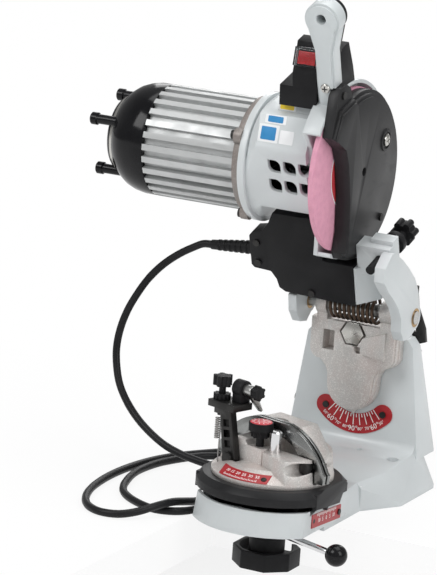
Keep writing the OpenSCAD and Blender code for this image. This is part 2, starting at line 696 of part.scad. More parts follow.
// ---------- handle and switch ----------
handle_x = -2;
handle_y0 = -27;
handle_y1 = -12;
handle_ball_z = 152.3;
handle_foot_z = 73.3;
handle_neck_z = 123.3;
handle_flare_z = 143.3;
module handle_outline(d) union() {
    translate([handle_x, handle_ball_z]) circle(r = 16 - d);
    polygon([[handle_x - 8.5 + d, handle_foot_z], [handle_x + 8.5 - d, handle_foot_z],
             [handle_x + 8.5 - d, handle_neck_z], [handle_x + 13.5 - d, handle_flare_z],
             [handle_x - 13.5 + d, handle_flare_z], [handle_x - 8.5 + d, handle_neck_z]]);
}
module lift_handle() color("gainsboro") on_motor_axis() difference() {
    union() {
        along_y(handle_y0, handle_y0 + 2) handle_outline(2);
        along_y(handle_y0 + 2, handle_y1) handle_outline(0);
    }
    translate([handle_x, 0, handle_ball_z + 2]) y_rod(handle_y0 - 1, handle_y1 + 1, 4.6);
    x_rod(-30, 30, guard_r + 1);
    box(guard_x0 - 0.1, 30, handle_y0 - 1, handle_y1 + 1, 60, cover_r + bump_h + 0.5);
}
module handle_backing() color("#202020") on_motor_axis() difference() {
    along_y(handle_y1, handle_y1 + 5) handle_outline(0.8);
    box(-30, 30, handle_y1 - 1, handle_y1 + 8, 60, backing_z);
}
switch_x = [-46, 2];
switch_z0 = neck_top;
switch_step = 87.3;
backing_z = 117.3;
module switch_housing() color("#202020") on_motor_axis() difference() {
    union() {
        along_x(switch_x[0], handle_x - 9)
            polygon([[-30, switch_z0], [22, switch_z0], [20, switch_step], [-26, switch_step]]);
        along_x(-34, handle_x - 9) polygon([[-26, switch_step], [20, switch_step], [17, 113.3], [2, 123.3],
            [-10, 123.3], [-24, 99.3]]);
        along_x(handle_x - 9, switch_x[1])
            polygon([[-6, switch_z0], [22, switch_z0], [20, 91.3], [15, 115.3], [-6, 115.3]]);
    }
    x_rod(inner_x0 - 0.2, 20, guard_r + 1.2);
    // well of the rocker
    rocker_place() box(-9.2, 9.2, -6.4, 6.4, -14, 1);
    box(-30, -14, -8, 12, switch_z0 - 1, switch_step + 10);
}
module rocker_place() translate([-22, -16.5, 110.8]) rotate([60, 0, 0]) children();
module switch_rocker() color("red") on_motor_axis() rocker_place() union() {
    box(-8.4, 8.4, -5.6, 5.6, -4, 2.2);
    x_rod(-9.1, 9.1, 1.4);
}
module switch_flap() color("#e8f0f0") on_motor_axis() rocker_place() union() {
    difference() {
        box(-10.6, 10.6, -7.6, 8.6, 1.3, 6.4);
        box(-9.4, 9.4, -8.6, 7.4, 0, 5.2);
    }
    translate([0, 8, 2.5]) x_rod(-10.6, 10.6, 1.2);
}
box_top = 60.5;
box_high = 101;
module wiring_box() color("#1c1c1c") in_head() difference() {
    along_y(box_face, box_back) polygon([[box_x0, 45], [-83, 42], [-67, 41], [-62, 34], [-60, 26], [-54,
        22.5],
        [box_x1, 20], [box_x1, box_top], [-15, box_top], [-15, box_high], [-61, box_high], [-66, 90],
        [-72.5, 81], [-82, 79], [box_x0, 74]]);
    along_y(box_face + 2.5, box_back + 1) polygon([[-83, 47], [-65, 45], [-57, 26], [box_x1 - 3, 24],
        [box_x1 - 3, box_top - 3], [-18, box_top - 3], [-18, box_high - 3], [-59, box_high - 3], [-64, 88],
        [-72, 78], [-83, 72]]);
}
relief_y = -22;
relief_z = 57;
relief_len = 43;
relief_droop = 6;
relief_rib = 2.4;
relief_step = 5.6;
// Turns a vector of the head's frame into the part's frame
function lean_vec(v) = [v.x, v.y * cos(head_lean) - v.z * sin(head_lean),
    v.y * sin(head_lean) + v.z * cos(head_lean)];
relief_dir = lean_vec([-cos(relief_droop), 0, -sin(relief_droop)]);
relief_tip = [0, hinge_y, hinge_z] + lean_vec([box_x0, relief_y, relief_z]) + relief_len * relief_dir;
module strain_relief() color("#202020") in_head() translate([box_x0, relief_y, relief_z]) rotate([0,
    -relief_droop, 0])
    difference() {
        union() {
            x_rod(-relief_len, 2, cord_r + 0.9, 5.8);
            for (i = [1:6]) x_rod(-relief_step * i - relief_rib, -relief_step * i, 6.4 - 0.22 * i);
            x_rod(-2, 3, 7);
        }
        // flush with the side of the wiring box
        rotate([0, relief_droop, 0]) x_rod(0, 20, 20);
    }

// ---------- depth stop ----------
module depth_stop_screw() color("#202020") in_head() translate([stop_x, 0, stop_z]) {
    y_rod(-46, 22, stop_rod_r);
    translate([0, 33, 0]) rotate([90, 0, 0]) knob_lobes(11, 8.6, 6, 3);
}
module depth_lock_knob() color("#202020") in_head() translate([stop_x, 0, stop_z]) difference() {
    union() {
        translate([0, 10, 0]) rotate([90, 0, 0]) cylinder(h = 7, r = 10);
        y_rod(ear_y + 6.3, 4, 7);
    }
    y_rod(-20, 20, stop_rod_r + run);
}

// ---------- vise: tilting platform ----------
platform_z = [30, 42];
module tilt_platform() color("#2a2a2a") difference() {
    union() {
        intersection() {
            union() {
                translate([0, 0, platform_z[0]]) cylinder(h = 7, r = platform_r, $fn = 128);
                translate([0, 0, platform_z[0] + 7])
                    cylinder(h = platform_z[1] - platform_z[0] - 7, r1 = platform_r, r2 = platform_r - 5,
                        $fn = 128);
            }
            box(-lug_x, lug_x, -80, 80, 0, 60);
        }
        // side lugs with the tilt pointer
        for (side = [-1, 1]) along_x(side > 0 ? nose_hw + 1.2 : -lug_x, side > 0 ? lug_x : -nose_hw - 1.2)
            polygon([[-31, 40], [29, 40], [17, 22.5], [-6, 24.5], [-8, 21.5], [-10, 24.8], [-31, 27]]);
        along_x(-keel_hx, keel_hx) intersection() {
            translate([0, tilt_z]) circle(r = keel_r, $fn = 128);
            translate([-keel_hy, 5]) square([2 * keel_hy, 27]);
        }
    }
    translate([0, 0, -5]) cylinder(h = 60, r = clamp_bolt_d / 2 + run);
    // weight pockets under the keel
    for (side = [-1, 1]) for (y = [-38, 12])
        box(side > 0 ? 12 : -36, side > 0 ? 36 : -12, y, y + 26, 0, 36);
}
table_floor = 54.5;
bolt_head_h = 7;
knob_top = -13.5;
knob_bottom = -39;
rim_z = -23;
module clamp_bolt() color("silver") {
    translate([0, 0, -36]) cylinder(h = table_floor + 36 + 1, d = clamp_bolt_d);
    translate([0, 0, table_floor + 0.1]) cylinder(h = bolt_head_h, r = 9.5, $fn = 6);
}
module octagon_knob() color("#202020") difference() {
    union() {
        difference() {
            rotate([0, 0, 22.5]) translate([0, 0, knob_bottom]) cylinder(h = rim_z - knob_bottom,
                r = octagon_r, $fn = 8);
            translate([0, 0, rim_z - 7]) cylinder(h = 8, r = octagon_r - 6);
        }
        translate([0, 0, rim_z - 8]) cylinder(h = knob_top - rim_z + 8, r = 15.5);
    }
    translate([0, 0, knob_bottom + 2]) cylinder(h = 60, r = clamp_bolt_d / 2 + run);
}
lever_turn = -21.5;
lever_z = -8;
lever_len = 85;
ball_r = 9.6;
module cam_lever() color("silver") rotate([0, 0, lever_turn]) translate([0, 0, lever_z]) difference() {
    union() {
        translate([0, 0, -5]) cylinder(h = 5 - lever_z, r = 12);
        x_rod(10, lever_len - ball_r + 4, 3);
    }
    translate([0, 0, -8]) cylinder(h = 30, r = clamp_bolt_d / 2 + run);
}
module lever_ball() color("#181818") rotate([0, 0, lever_turn]) translate([lever_len, 0,
    lever_z]) difference() {
    sphere(r = ball_r);
    x_rod(-ball_r - 1, -ball_r + 4, 3);
}

// ---------- vise: turntable ----------
table_z = [42, 66];
rail_y = chain_gap / 2;
plate_reach = table_r + 10.3;
cone_z = [table_z[0] + 3, table_z[0] + 12];
cone_r = [table_r + 1.28, 38];
// Radius of the turntable's sloping skirt at height z
function skirt_r(z) = cone_r[0] + (cone_r[1] - cone_r[0]) * (z - cone_z[0]) / (cone_z[1] - cone_z[0]);
module rail_outline() polygon(concat(
    [[1 - plate_reach, 47], [-plate_reach, 55]], arc([57 - plate_reach, 28], 62, 152, 100, 10),
    arc([plate_reach - 57, 28], 62, 80, 28, 10), [[plate_reach, 55], [plate_reach - 1, 47],
        [plate_reach - 19, 45.5],
    [plate_reach - 23, 58], [26, 72], [10, 78], [-10, 78], [-26, 72], [23 - plate_reach, 58],
        [19 - plate_reach, 45.5]]));
module turntable() color("silver") in_table() difference() {
    union() {
        intersection() {
            translate([0, 0, table_z[0]]) cylinder(h = table_z[1] - table_z[0], r1 = table_r,
                r2 = table_r - 3, $fn = 128);
            union() {
                box(-60, 60, -rail_y + 0.5, 60, 30, 90);
                translate([0, 0, 30]) linear_extrude(60) polygon([[2, 30], [2, -21], [30, -30], [60,
                    -30], [60, 30]]);
            }
        }
        difference() {
            union() {
                translate([0, 0, table_z[0]]) cylinder(h = 4, r = table_r, $fn = 128);
                translate([0, 0, cone_z[0]]) cylinder(h = cone_z[1] - cone_z[0], r1 = cone_r[0],
                    r2 = cone_r[1], $fn = 128);
            }
            box(-47, -12, -34, jaw_front, table_z[0] + 4, 90);
            difference() {
                cylinder(h = table_z[0] + 4, r = table_r + 5);
                cylinder(h = table_z[0] + 4, r = table_r, $fn = 128);
            }
        }
        // fixed jaw behind the chain
        along_y(rail_y + plate_t, 24) polygon([[-45, 56], [-44, 72], [-18, 88], [26, 88], [45, 64], [45,
            56]]);
        // jaw in front of the chain, with a flat for the dial
        along_y(jaw_front, -channel_y) polygon([[-40, 50], [-36, 64], [-26, 72], [-12, 72], [-9,
            dial_floor],
            [8, dial_floor], [8, 50]]);
    }
    // channel in which the front plate slides
    box(-70, 70, -channel_y, -rail_y + 0.5, 45, 90);
    box(-70, 70, -rail_y, rail_y + plate_t, 45, 100);
    translate([0, 0, 30]) cylinder(h = table_floor - 30 + 1, r = clamp_bolt_d / 2 + run);
    translate([0, 0, table_floor]) cylinder(h = 40, r = 11);
    // bore of the dial and of the stop arm's pivot, and the arm's pocket
    translate([dial_at.x, dial_at.y, dial_floor - 8]) cylinder(h = 20, r = dial_post_r + run);
    translate([arm_p.x, 0, arm_p.y]) y_rod(-40, jaw_front + 10, pivot_r);
    for (x = bolt_xs) translate([x, 0, bolt_z]) {
        y_rod(-60, 60, jaw_bolt_r);
        y_rod(-60, -channel_y + 1, 5.7);
    }
}
channel_y = rail_y + plate_t + 1.2;
jaw_front = -24;
dial_floor = 68;
dial_post_r = 3.4;
pivot_r = 3;
bolt_xs = [6.7 - table_r, table_r - 6.7];
bolt_z = 59;
jaw_bolt_r = 3;
scale_z = [table_z[0] + 4, cone_z[1]];
module turn_scale() color("crimson") in_table() rotate([0, 0, -table_turn]) difference() {
    translate([0, 0, scale_z[0]]) cylinder(h = scale_z[1] - scale_z[0] - eps,
        r1 = skirt_r(scale_z[0]) + scale_t,
        r2 = skirt_r(scale_z[1]) + scale_t, $fn = 128);
    translate([0, 0, scale_z[0] - eps]) cylinder(h = scale_z[1] - scale_z[0],
        r1 = skirt_r(scale_z[0]) + seat,
        r2 = skirt_r(scale_z[1]) + seat, $fn = 128);
    box(-80, 80, -80, 80, 0, scale_z[0] + 0.3);
    box(-80, 80, -80, 80, scale_z[0] + 5.6, 90);
    box(-80, 80, -28, 80, 0, 90);
    box(18, 80, -80, 80, 0, 90);
    box(-80, -30, -80, 80, 0, 90);
}
module rear_clamp_plate() color("lightgray") in_table() difference() {
    along_y(rail_y, rail_y + plate_t) rail_outline();
    for (x = bolt_xs) translate([x, 0, bolt_z]) y_rod(-20, 20, jaw_bolt_r);
}
module front_clamp_plate() color("lightgray") in_table() difference() {
    along_y(-rail_y - plate_t, -rail_y) rail_outline();
    for (x = bolt_xs) translate([x, 0, bolt_z]) y_rod(-20, 20, jaw_bolt_r + run);
}
module jaw_bolts() color("#303030") in_table()
    for (x = bolt_xs) translate([x, 0, bolt_z]) {
        y_rod(-channel_y - 3, 14, jaw_bolt_r);
        y_rod(-channel_y - 6.5, -channel_y - 2, 5.4);
    }
dial_at = [-1.5, -16.9];
module adjuster_dial() color("#202020") in_table() translate([dial_at.x, dial_at.y, 0]) union() {
    translate([0, 0, 82]) cylinder(h = 7, r = 10.6);
    translate([0, 0, 76]) knob_lobes(6, 6.6, 8, 1.4);
    translate([0, 0, dial_floor - 7.5]) cylinder(h = 16, r = dial_post_r);
}
module guide_pin() color("silver") in_table() translate([13.8, -13.4, table_z[1]]) {
    cylinder(h = 17, r = 5);
    translate([0, 0, 17]) cylinder(h = 1.5, r1 = 5, r2 = 3.5);
}

// ---------- chain stop arm ----------
arm_p = [-24, 54];
arm_t = 6.7;
arm_y = [jaw_front - 0.3 - arm_t, jaw_front - 0.3];
arm_tilt = 10;
arm_h = 44;
deck_z = [arm_p.y + 40, arm_p.y + 46];
deck_x = [-52, -21.4];
pawl_y = -15;
pawl_z = 112;
pawl_x = -28;
stop_screw_at = [-45, -22];
lug_top = 92;
spring_at = [-42, -27.5];
module stop_arm() color("#222222") in_table() difference() {
    union() {
        translate([arm_p.x, 0, arm_p.y]) rotate([0, -arm_tilt, 0]) along_y(arm_y[0], arm_y[1])
            polygon(concat(arc([0, 0], 7.4, 180, 360, 12), [[6, arm_h], [-6.5, arm_h]]));
        // deck that carries the pawl and the adjusting screw
        box(deck_x[0], deck_x[1], arm_y[0] - 0.5, -8.5, deck_z[0], deck_z[1]);
        // lug for the spring
        box(spring_at.x - 4, -30, spring_at.y - 2, spring_at.y + 2, lug_top - 3, lug_top + 3);
    }
    translate([arm_p.x, 0, arm_p.y]) {
        y_rod(arm_y[0] - 1, arm_y[1] + 1, pivot_r + run);
        for (i = [0:2]) rotate([0, -arm_tilt, 0]) box(-3.6, 3.4, arm_y[0] - 1, arm_y[0] + 3, 9 + i * 9,
            15 + i * 9);
    }
    translate([stop_screw_at.x, stop_screw_at.y, 80]) cylinder(h = 40, r = 3 + run);
}
module arm_pivot_bolt() color("#303030") in_table() translate([arm_p.x, 0, arm_p.y]) {
    y_rod(arm_y[0] - 1, jaw_front + 9, pivot_r);
    y_rod(arm_y[0] - 3, arm_y[0] - 0.3, 5.2);
}
module stop_screw() color("#222222") in_table() translate([stop_screw_at.x, stop_screw_at.y, 0]) {
    translate([0, 0, 86]) cylinder(h = 28, r = 3);
    translate([0, 0, 112]) knob_lobes(9, 6.2, 5, 2.4);
}
module stop_nut() color("#222222") in_table()
    translate([stop_screw_at.x, stop_screw_at.y, deck_z[1] + 0.3]) difference() {
        knob_lobes(5, 6.4, 12, 1.2);
        translate([0, 0, -1]) cylinder(h = 9, r = 3 + run);
    }
pull_wire = 1;
pull_mean_r = 2.4;
pull_turns = 12;
pull_pitch = 1.6;
echo(arm_spring_gap = pull_pitch - pull_wire);
module arm_spring() color("darkgray") in_table() {
    steps = pull_turns * spring_rings;
    foot_z = table_z[0] + 4;
    coil = [for (i = [0:steps]) let (p = helix_point(i, pull_mean_r, pull_pitch, spring_rings))
        [p.y, p.z, p.x] + [spring_at.x, spring_at.y, 66]];
    low = [spring_at.x + pull_mean_r, spring_at.y, foot_z];
    high = [spring_at.x + pull_mean_r, spring_at.y, lug_top - 3];
    tube(concat([low, [low.x, low.y, 64.8]], coil, [[high.x, high.y, 86.6], high]), pull_wire / 2,
        spring_sides,
        [0.02, 1, 0.01]);
}
module pawl_block() color("#222222") in_table() difference() {
    union() {
        box(pawl_x - 6, pawl_x + 4, pawl_y - 6, pawl_y + 6, deck_z[1], pawl_z);
        translate([0, pawl_y, pawl_z]) x_rod(pawl_x - 6, pawl_x + 4, 7.5);
    }
    translate([0, pawl_y, pawl_z]) x_rod(pawl_x - 7, pawl_x + 5, 3 + run);
}
module pawl_shaft() color("#222222") in_table() translate([0, pawl_y, pawl_z]) {
    x_rod(pawl_x - 8, pawl_x + 18, 3);
    translate([pawl_x + 15, 0, 0]) rotate([0, 90, 0]) knob_lobes(6, 5.2, 6, 1.5);
}
module chain_pawl() color("slategray") in_table() difference() {
    union() {
        translate([0, pawl_y, pawl_z]) x_rod(pawl_x + 4.4, pawl_x + 14, 5);
        along_x(pawl_x + 7, pawl_x + 11) polygon([[pawl_y - 4.5, pawl_z - 1], [pawl_y + 4.5, pawl_z + 1],
            [0.5, 93], [-1.5, 92]]);
    }
    translate([0, pawl_y, pawl_z]) x_rod(pawl_x, pawl_x + 20, 3 + run);
}

// ---------- mains cord ----------
cord_r = cord_d / 2;
// Points of the free cord: straight out of the strain relief, down to the bench beside the
// foot, round the inner loop, forward again, round the outer loop and back to the coil.
cord_points = [
    [-146, 113, 198.5], [-160, 111.5, 190], [-174, 109, 178.5], [-186, 106, 164.5], [-195, 102.5, 149],
    [-202, 99, 133], [-206, 95, 116], [-206.5, 91, 99], [-203, 87, 83], [-196, 82, 68], [-185, 78, 54],
    [-171, 74, 42], [-155, 70, 32.5], [-138, 67, 25], [-120, 66, 20], [-102, 65, 17.5], [-85, 63, 16],
    [-71, 55, 13.5], [-62, 41, 9], [-58, 24, 5], [-57, 6, 3.6], [-57, -12, 3.6],
    [-60, -29, 3.6], [-70, -42, 3.6], [-86, -47.5, 3.6], [-102, -42.5, 3.6], [-118, -33, 3.6],
    [-131, -20.5, 3.6], [-140, -5, 3.6], [-146, 12, 3.6], [-150.5, 29, 3.6], [-153, 46, 3.6],
    [-152.5, 64, 3.6], [-150, 81, 3.6], [-145, 96, 3.6], [-138.5, 111, 3.6], [-130, 125.5, 3.6],
    [-117, 136, 3.6], [-101, 137, 3.6], [-88, 129, 3.6], [-81, 114, 3.6], [-79.5, 97, 3.6],
    [-76, 80, 3.6], [-72, 62, 3.6], [-69, 44, 3.6], [-67.5, 26, 3.6], [-67, 9, 3.6],
    [-67.5, -8, 5], [-69, -25, 8.5], [-73, -42, 11.2], [-80, -58, 10], [-90, -72, 6.5],
    [-103, -82, 4.2], [-120, -84, 3.6], [-135, -76, 3.6], [-146, -62, 3.6], [-154, -45, 3.6],
    [-159.5, -27, 3.6], [-163, -8, 3.6], [-165, 11, 3.6], [-165.5, 30, 3.6], [-164.5, 49, 3.6],
    [-162, 68, 3.6], [-158, 86, 3.6], [-152, 103, 3.6], [-144, 119, 3.6], [-134.5, 134, 3.6],
    [-124, 148.5, 3.6], [-113.5, 163, 3.6], [-105, 179, 3.6], [-99, 196, 3.6], [-96.5, 214, 3.6],
    [-97, 232, 3.6], [-97, 250, 4], [-97, 264, 4.2]
];
// The rest of the cord lies behind the foot in a round coil of two layers
coil_at = [-50.5, 285];
coil_r_in = 31.5;
coil_pitch = 7.6;
coil_turns = 4;
coil_rings = 24;
coil_z = 4.2;
coil_r_out = coil_r_in + coil_pitch * coil_turns / 2;
coil_lead = 9;
// How far the coil has climbed to its upper layer after t turns
function coil_climb(t) = coil_pitch * min(1, max(0, (t - coil_turns / 2 + 0.25) * 2));
function coil_point(t) =
    let (r = coil_r_in + coil_pitch * abs(t - coil_turns / 2), a = 180 - 360 * t)
    [coil_at.x + r * cos(a), coil_at.y + r * sin(a), coil_z + coil_climb(t)];
coil_start = coil_point(0) - [0, coil_lead, 0];
coil_lead_out = [[-98, 295, 11.3], [-101, 304.5, 10.6], [-105.6, 313.5, 10.1], [-109.3, 320.7, 10.1]];
coil_end = coil_lead_out[3];
coil_path = concat([coil_start], [for (i = [0:coil_turns * coil_rings]) coil_point(i / coil_rings)],
    coil_lead_out);
cord_path = concat([relief_tip, relief_tip + 9 * relief_dir], cord_points, [coil_start]);
function lengths(p) = [for (i = [1:len(p) - 1]) norm(p[i] - p[i - 1])];
function total(v, i = 0) = i < len(v) ? v[i] + total(v, i + 1) : 0;
// Least distance between the centre lines of points more than skip places apart
function least(p, skip) =
    min([for (i = [0:len(p) - 1 - skip]) min([for (j = [i + skip:len(p) - 1]) norm(p[i] - p[j])])]);
echo(coil_self_gap = least(coil_path, coil_rings - 4) - cord_d);
echo(cord_self_gap = least(cord_path, 8) - cord_d);
echo(cord_length = total(lengths(cord_path)), coil_length = total(lengths(coil_path)));
module mains_cord() color("#1a1a1a") tube(cord_path, cord_r, 8);
module cord_coil() color("#1a1a1a") tube(coil_path, cord_r, spring_sides);
// Band round the coil's turns, opposite the plug
tie_t = 0.6;
tie_w = 8;
tie_r = [coil_r_in + coil_pitch / 2 - cord_r - 0.3, coil_r_out - coil_pitch / 2 + cord_r + 0.3];
tie_z = coil_z + coil_pitch + cord_r + 0.2;
module cord_tie() color("#2c2c2c") translate([coil_at.x, coil_at.y, 0]) along_y(-tie_w / 2,
    tie_w / 2) difference() {
    translate([tie_r[0] - 1, 0]) square([tie_r[1] - tie_r[0] + 2, tie_z + 1]);
    translate([tie_r[0], tie_t]) square([tie_r[1] - tie_r[0], tie_z - tie_t]);
}
plug_len = 34;
plug_turn = 27.2;
module at_coil_end() translate(coil_end) rotate([0, 0, plug_turn]) children();
plug_w = 36;
plug_hole = 9.5;
pin_d = 4.8;
pin_gap = 19;
pin_len = 19;
module mains_plug() color("#1a1a1a") at_coil_end() difference() {
    union() {
        y_rod(0, 14, cord_r + 1.5);
        hull() {
            y_rod(13, 14, cord_r + 2.5);
            for (side = [-1, 1]) translate([side * (plug_w / 2 - plug_hole), 0, 0]) y_rod(22,
                12 + plug_len, plug_hole);
        }
    }
    for (side = [-1, 1]) translate([side * pin_gap / 2, 0, 0]) y_rod(6 + plug_len, 20 + plug_len,
        pin_d / 2);
}
module plug_pins() color("silver") at_coil_end()
    for (side = [-1, 1]) translate([side * pin_gap / 2, 0, 0]) y_rod(6 + plug_len,
        12 + plug_len + pin_len, pin_d / 2);

base_casting();
swivel_scale();
tilt_scale();
scale_rivets();
swivel_bolt();
swivel_plate();
hinge_shaft();
torsion_spring();
swivel_lock_lever();
head_arm();
arm_bushes();
motor_housing();
motor_flange();
motor_shell();
motor_cap();
motor_stator();
motor_bearings();
wheel_guard_inner();
wheel_guard_cover();
head_screws();
lift_handle();
handle_backing();
switch_housing();
wiring_box();
strain_relief();
switch_rocker();
switch_flap();
rotor_shaft();
rotor_core();
cooling_fan();
wheel_flanges();
grinding_wheel();
wheel_nut();
depth_stop_screw();
depth_lock_knob();
tilt_platform();
clamp_bolt();
octagon_knob();
cam_lever();
lever_ball();
turntable();
turn_scale();
rear_clamp_plate();
jaw_bolts();
guide_pin();
adjuster_dial();
front_clamp_plate();
stop_arm();
arm_pivot_bolt();
stop_screw();
stop_nut();
arm_spring();
pawl_block();
pawl_shaft();
chain_pawl();
mains_cord();
cord_coil();
cord_tie();
mains_plug();
plug_pins();
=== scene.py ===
"""The looks of a bench chain grinder with a self-centring vise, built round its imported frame.

Every piece is in metres, in the frame's own axes: X to the right, Y away from the user and Z up,
with the bench top at z = 0 and the vise turntable's axis at x = y = 0.
"""

import json
import logging
import math
from dataclasses import dataclass
from enum import Enum
from functools import lru_cache
from typing import Iterable, Optional, Sequence, Union

import bpy
from mathutils import Matrix, Vector


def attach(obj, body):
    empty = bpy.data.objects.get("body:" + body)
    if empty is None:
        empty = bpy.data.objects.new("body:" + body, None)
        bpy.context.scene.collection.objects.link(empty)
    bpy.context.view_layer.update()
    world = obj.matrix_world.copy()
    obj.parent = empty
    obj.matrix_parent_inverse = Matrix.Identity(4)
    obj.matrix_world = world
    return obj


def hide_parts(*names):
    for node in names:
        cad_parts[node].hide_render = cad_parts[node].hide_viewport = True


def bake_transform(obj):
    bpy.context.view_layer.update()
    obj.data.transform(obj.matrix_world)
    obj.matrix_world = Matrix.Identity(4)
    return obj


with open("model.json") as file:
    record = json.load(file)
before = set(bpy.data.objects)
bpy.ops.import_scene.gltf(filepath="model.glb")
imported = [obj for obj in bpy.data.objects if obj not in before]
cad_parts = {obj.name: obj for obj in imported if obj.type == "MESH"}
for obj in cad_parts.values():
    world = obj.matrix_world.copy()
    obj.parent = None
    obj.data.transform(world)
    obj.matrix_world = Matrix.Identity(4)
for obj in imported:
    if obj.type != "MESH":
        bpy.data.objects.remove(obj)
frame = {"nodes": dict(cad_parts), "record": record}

LOG = logging.getLogger("grinder")
MM = 0.001
Point = Sequence[float]
Value = Union["Wire", float, Sequence[float]]

HINGE = (0.0, 151.4, 160.7)
HEAD_LEAN = 18.7
ARM = 138.7
HEAD = Matrix.Translation(Vector(HINGE) * MM) @ Matrix.Rotation(math.radians(HEAD_LEAN), 4, "X")
AXIS = HEAD @ Matrix.Translation((0, 0, ARM * MM))
TABLE = Matrix.Rotation(math.radians(-18), 4, "Z")
WORLD = Matrix.Identity(4)
BODY_OF = {node: body for body, nodes in frame["record"]["behaviour"]["bodies"].items() for node in nodes}


class Plane(Enum):
    """The plane that a flat outline is drawn in, and the axis that it is drawn out along."""

    YZ = 0
    XZ = 1
    XY = 2

    def place(self, a: float, b: float, along: float) -> tuple[float, float, float]:
        """Turns an outline's two numbers and a depth into a point."""
        if self is Plane.YZ:
            return (along, a, b)
        if self is Plane.XZ:
            return (a, along, b)
        return (a, b, along)

    @property
    def normal(self) -> Vector:
        """The axis that the outline is drawn out along."""
        return Vector(self.place(0, 0, 1))


# ---------------------------------------------------------------- materials


@dataclass(frozen=True)
class Wire:
    """A value in a material that can be written in arithmetic."""

    graph: "Graph"
    socket: bpy.types.NodeSocket

    def _math(self, operation: str, a: Value, b: Value) -> "Wire":
        """Adds one Math node."""
        return self.graph.node("ShaderNodeMath", {"operation": operation}, {0: a, 1: b})

    def __add__(self, other: Value) -> "Wire":
        """Returns self + other."""
        return self._math("ADD", self, other)

    def __sub__(self, other: Value) -> "Wire":
        """Returns self - other."""
        return self._math("SUBTRACT", self, other)

    def __rsub__(self, other: Value) -> "Wire":
        """Returns other - self."""
        return self._math("SUBTRACT", other, self)

    def __mul__(self, other: Value) -> "Wire":
        """Returns self * other."""
        return self._math("MULTIPLY", self, other)

    __radd__ = __add__
    __rmul__ = __mul__


class Graph:
    """The nodes of one material."""

    def __init__(self, name: str) -> None:
        """Starts a material of a name."""
        self.material = bpy.data.materials.new(name)
        self.material.use_nodes = True
        self.tree = self.material.node_tree
        self.shader = self.tree.nodes["Principled BSDF"]
        self.place = self.node("ShaderNodeTexCoord", out="Object")

    def node(self, kind: str, settings: Optional[dict] = None, sockets: Optional[dict] = None,
             out: Union[str, int] = 0) -> Wire:
        """Adds a node.

        Args:
            kind: The node's type.
            settings: Its settings, which are set first.
            sockets: The values or links of its sockets, by name or place.
            out: The output that is handed back.

        Returns:
            The output as a wire.
        """
        made = self.tree.nodes.new(kind)
        for key, value in (settings or {}).items():
            if key == "stops":
                stops = made.color_ramp.elements
                while len(stops) < len(value):
                    stops.new(0.5)
                for stop, (at, colour) in zip(stops, value):
                    stop.position, stop.color = at, (*colour, 1)
            else:
                setattr(made, key, value)
        for key, value in (sockets or {}).items():
            self.feed(made.inputs[key], value)
        return Wire(self, made.outputs[out])

    def feed(self, socket: bpy.types.NodeSocket, value: Value) -> None:
        """Sets a socket, or links it.

        Args:
            socket: The input.
            value: A wire, a number or a colour of three or four numbers.
        """
        if isinstance(value, Wire):
            self.tree.links.new(value.socket, socket)
        elif socket.type == "RGBA" and len(value) == 3:
            socket.default_value = (*value, 1)
        else:
            socket.default_value = value

    def noise(self, grain: float, detail: float = 3, stretch: Point = (1, 1, 1)) -> Wire:
        """A cloudy pattern from 0 to 1, with grains of a size in millimetres, squeezed by stretch."""
        at = self.node("ShaderNodeMapping", {}, {"Vector": self.place, "Scale": stretch})
        return self.node("ShaderNodeTexNoise", {}, {"Vector": at, "Scale": 1 / (grain * MM), "Detail": detail})

    def cells(self, grain: float) -> Wire:
        """The distance to the middle of each cell of a size in millimetres."""
        sockets = {"Vector": self.place, "Scale": 1 / (grain * MM)}
        return self.node("ShaderNodeTexVoronoi", {}, sockets, "Distance")

    def span(self, value: Wire, low: float, high: float, new_low: float = 0, new_high: float = 1) -> Wire:
        """Stretches a value from low and high to new_low and new_high, clamped at both ends."""
        sockets = {0: value, 1: low, 2: high, 3: new_low, 4: new_high}
        return self.node("ShaderNodeMapRange", {"clamp": True}, sockets)

    def mix(self, share: Value, a: Value, b: Value) -> Wire:
        """Mixes two colours, where share is how much of b there is."""
        return self.node("ShaderNodeMix", {"data_type": "RGBA"}, {0: share, 6: a, 7: b}, 2)

    def finish(self, colour: Value, rough: Value, bump: Optional[Wire] = None, depth: float = 0.1,
               **plain: Value) -> bpy.types.Material:
        """Feeds the shader.

        Args:
            colour: The base colour.
            rough: The roughness.
            bump: The height of the surface from 0 to 1.
            depth: What a height of 1 is in millimetres.
            plain: Other sockets of the shader, with _ for a space.

        Returns:
            The material.
        """
        self.feed(self.shader.inputs["Base Color"], colour)
        self.feed(self.shader.inputs["Roughness"], rough)
        if bump is not None:
            height = self.node("ShaderNodeBump", {}, {"Height": bump, "Distance": depth * MM, "Strength": 1.0})
            self.feed(self.shader.inputs["Normal"], height)
        for key, value in plain.items():
            self.feed(self.shader.inputs[key.replace("_", " ")], value)
        return self.material


@dataclass(frozen=True)
class Enamel:
    """Stove enamel over a casting: faintly rippled, with darker specks of dust scattered over it."""

    name: str
    colour: Point
    rough: float = 0.36
    ripple: float = 0.05

    def make(self) -> bpy.types.Material:
        """Returns the material."""
        g = Graph(self.name)
        cloud = g.noise(60, 4)
        ripple = g.noise(2.6, 2)
        speck = g.span(g.noise(1.1, 1), 0.68, 0.76)
        darker = [c * 0.93 for c in self.colour]
        dusty = [min(1, c * 0.80 + 0.03) for c in self.colour]
        colour = g.mix(g.span(cloud, 0.35, 0.7), self.colour, darker)
        colour = g.mix(speck * 0.16, colour, dusty)
        rough = g.span(cloud, 0.3, 0.7, self.rough - 0.04, self.rough + 0.08)
        return g.finish(colour, rough, ripple + speck * 0.2, self.ripple, Coat_Weight=0.25, Coat_Roughness=0.18)


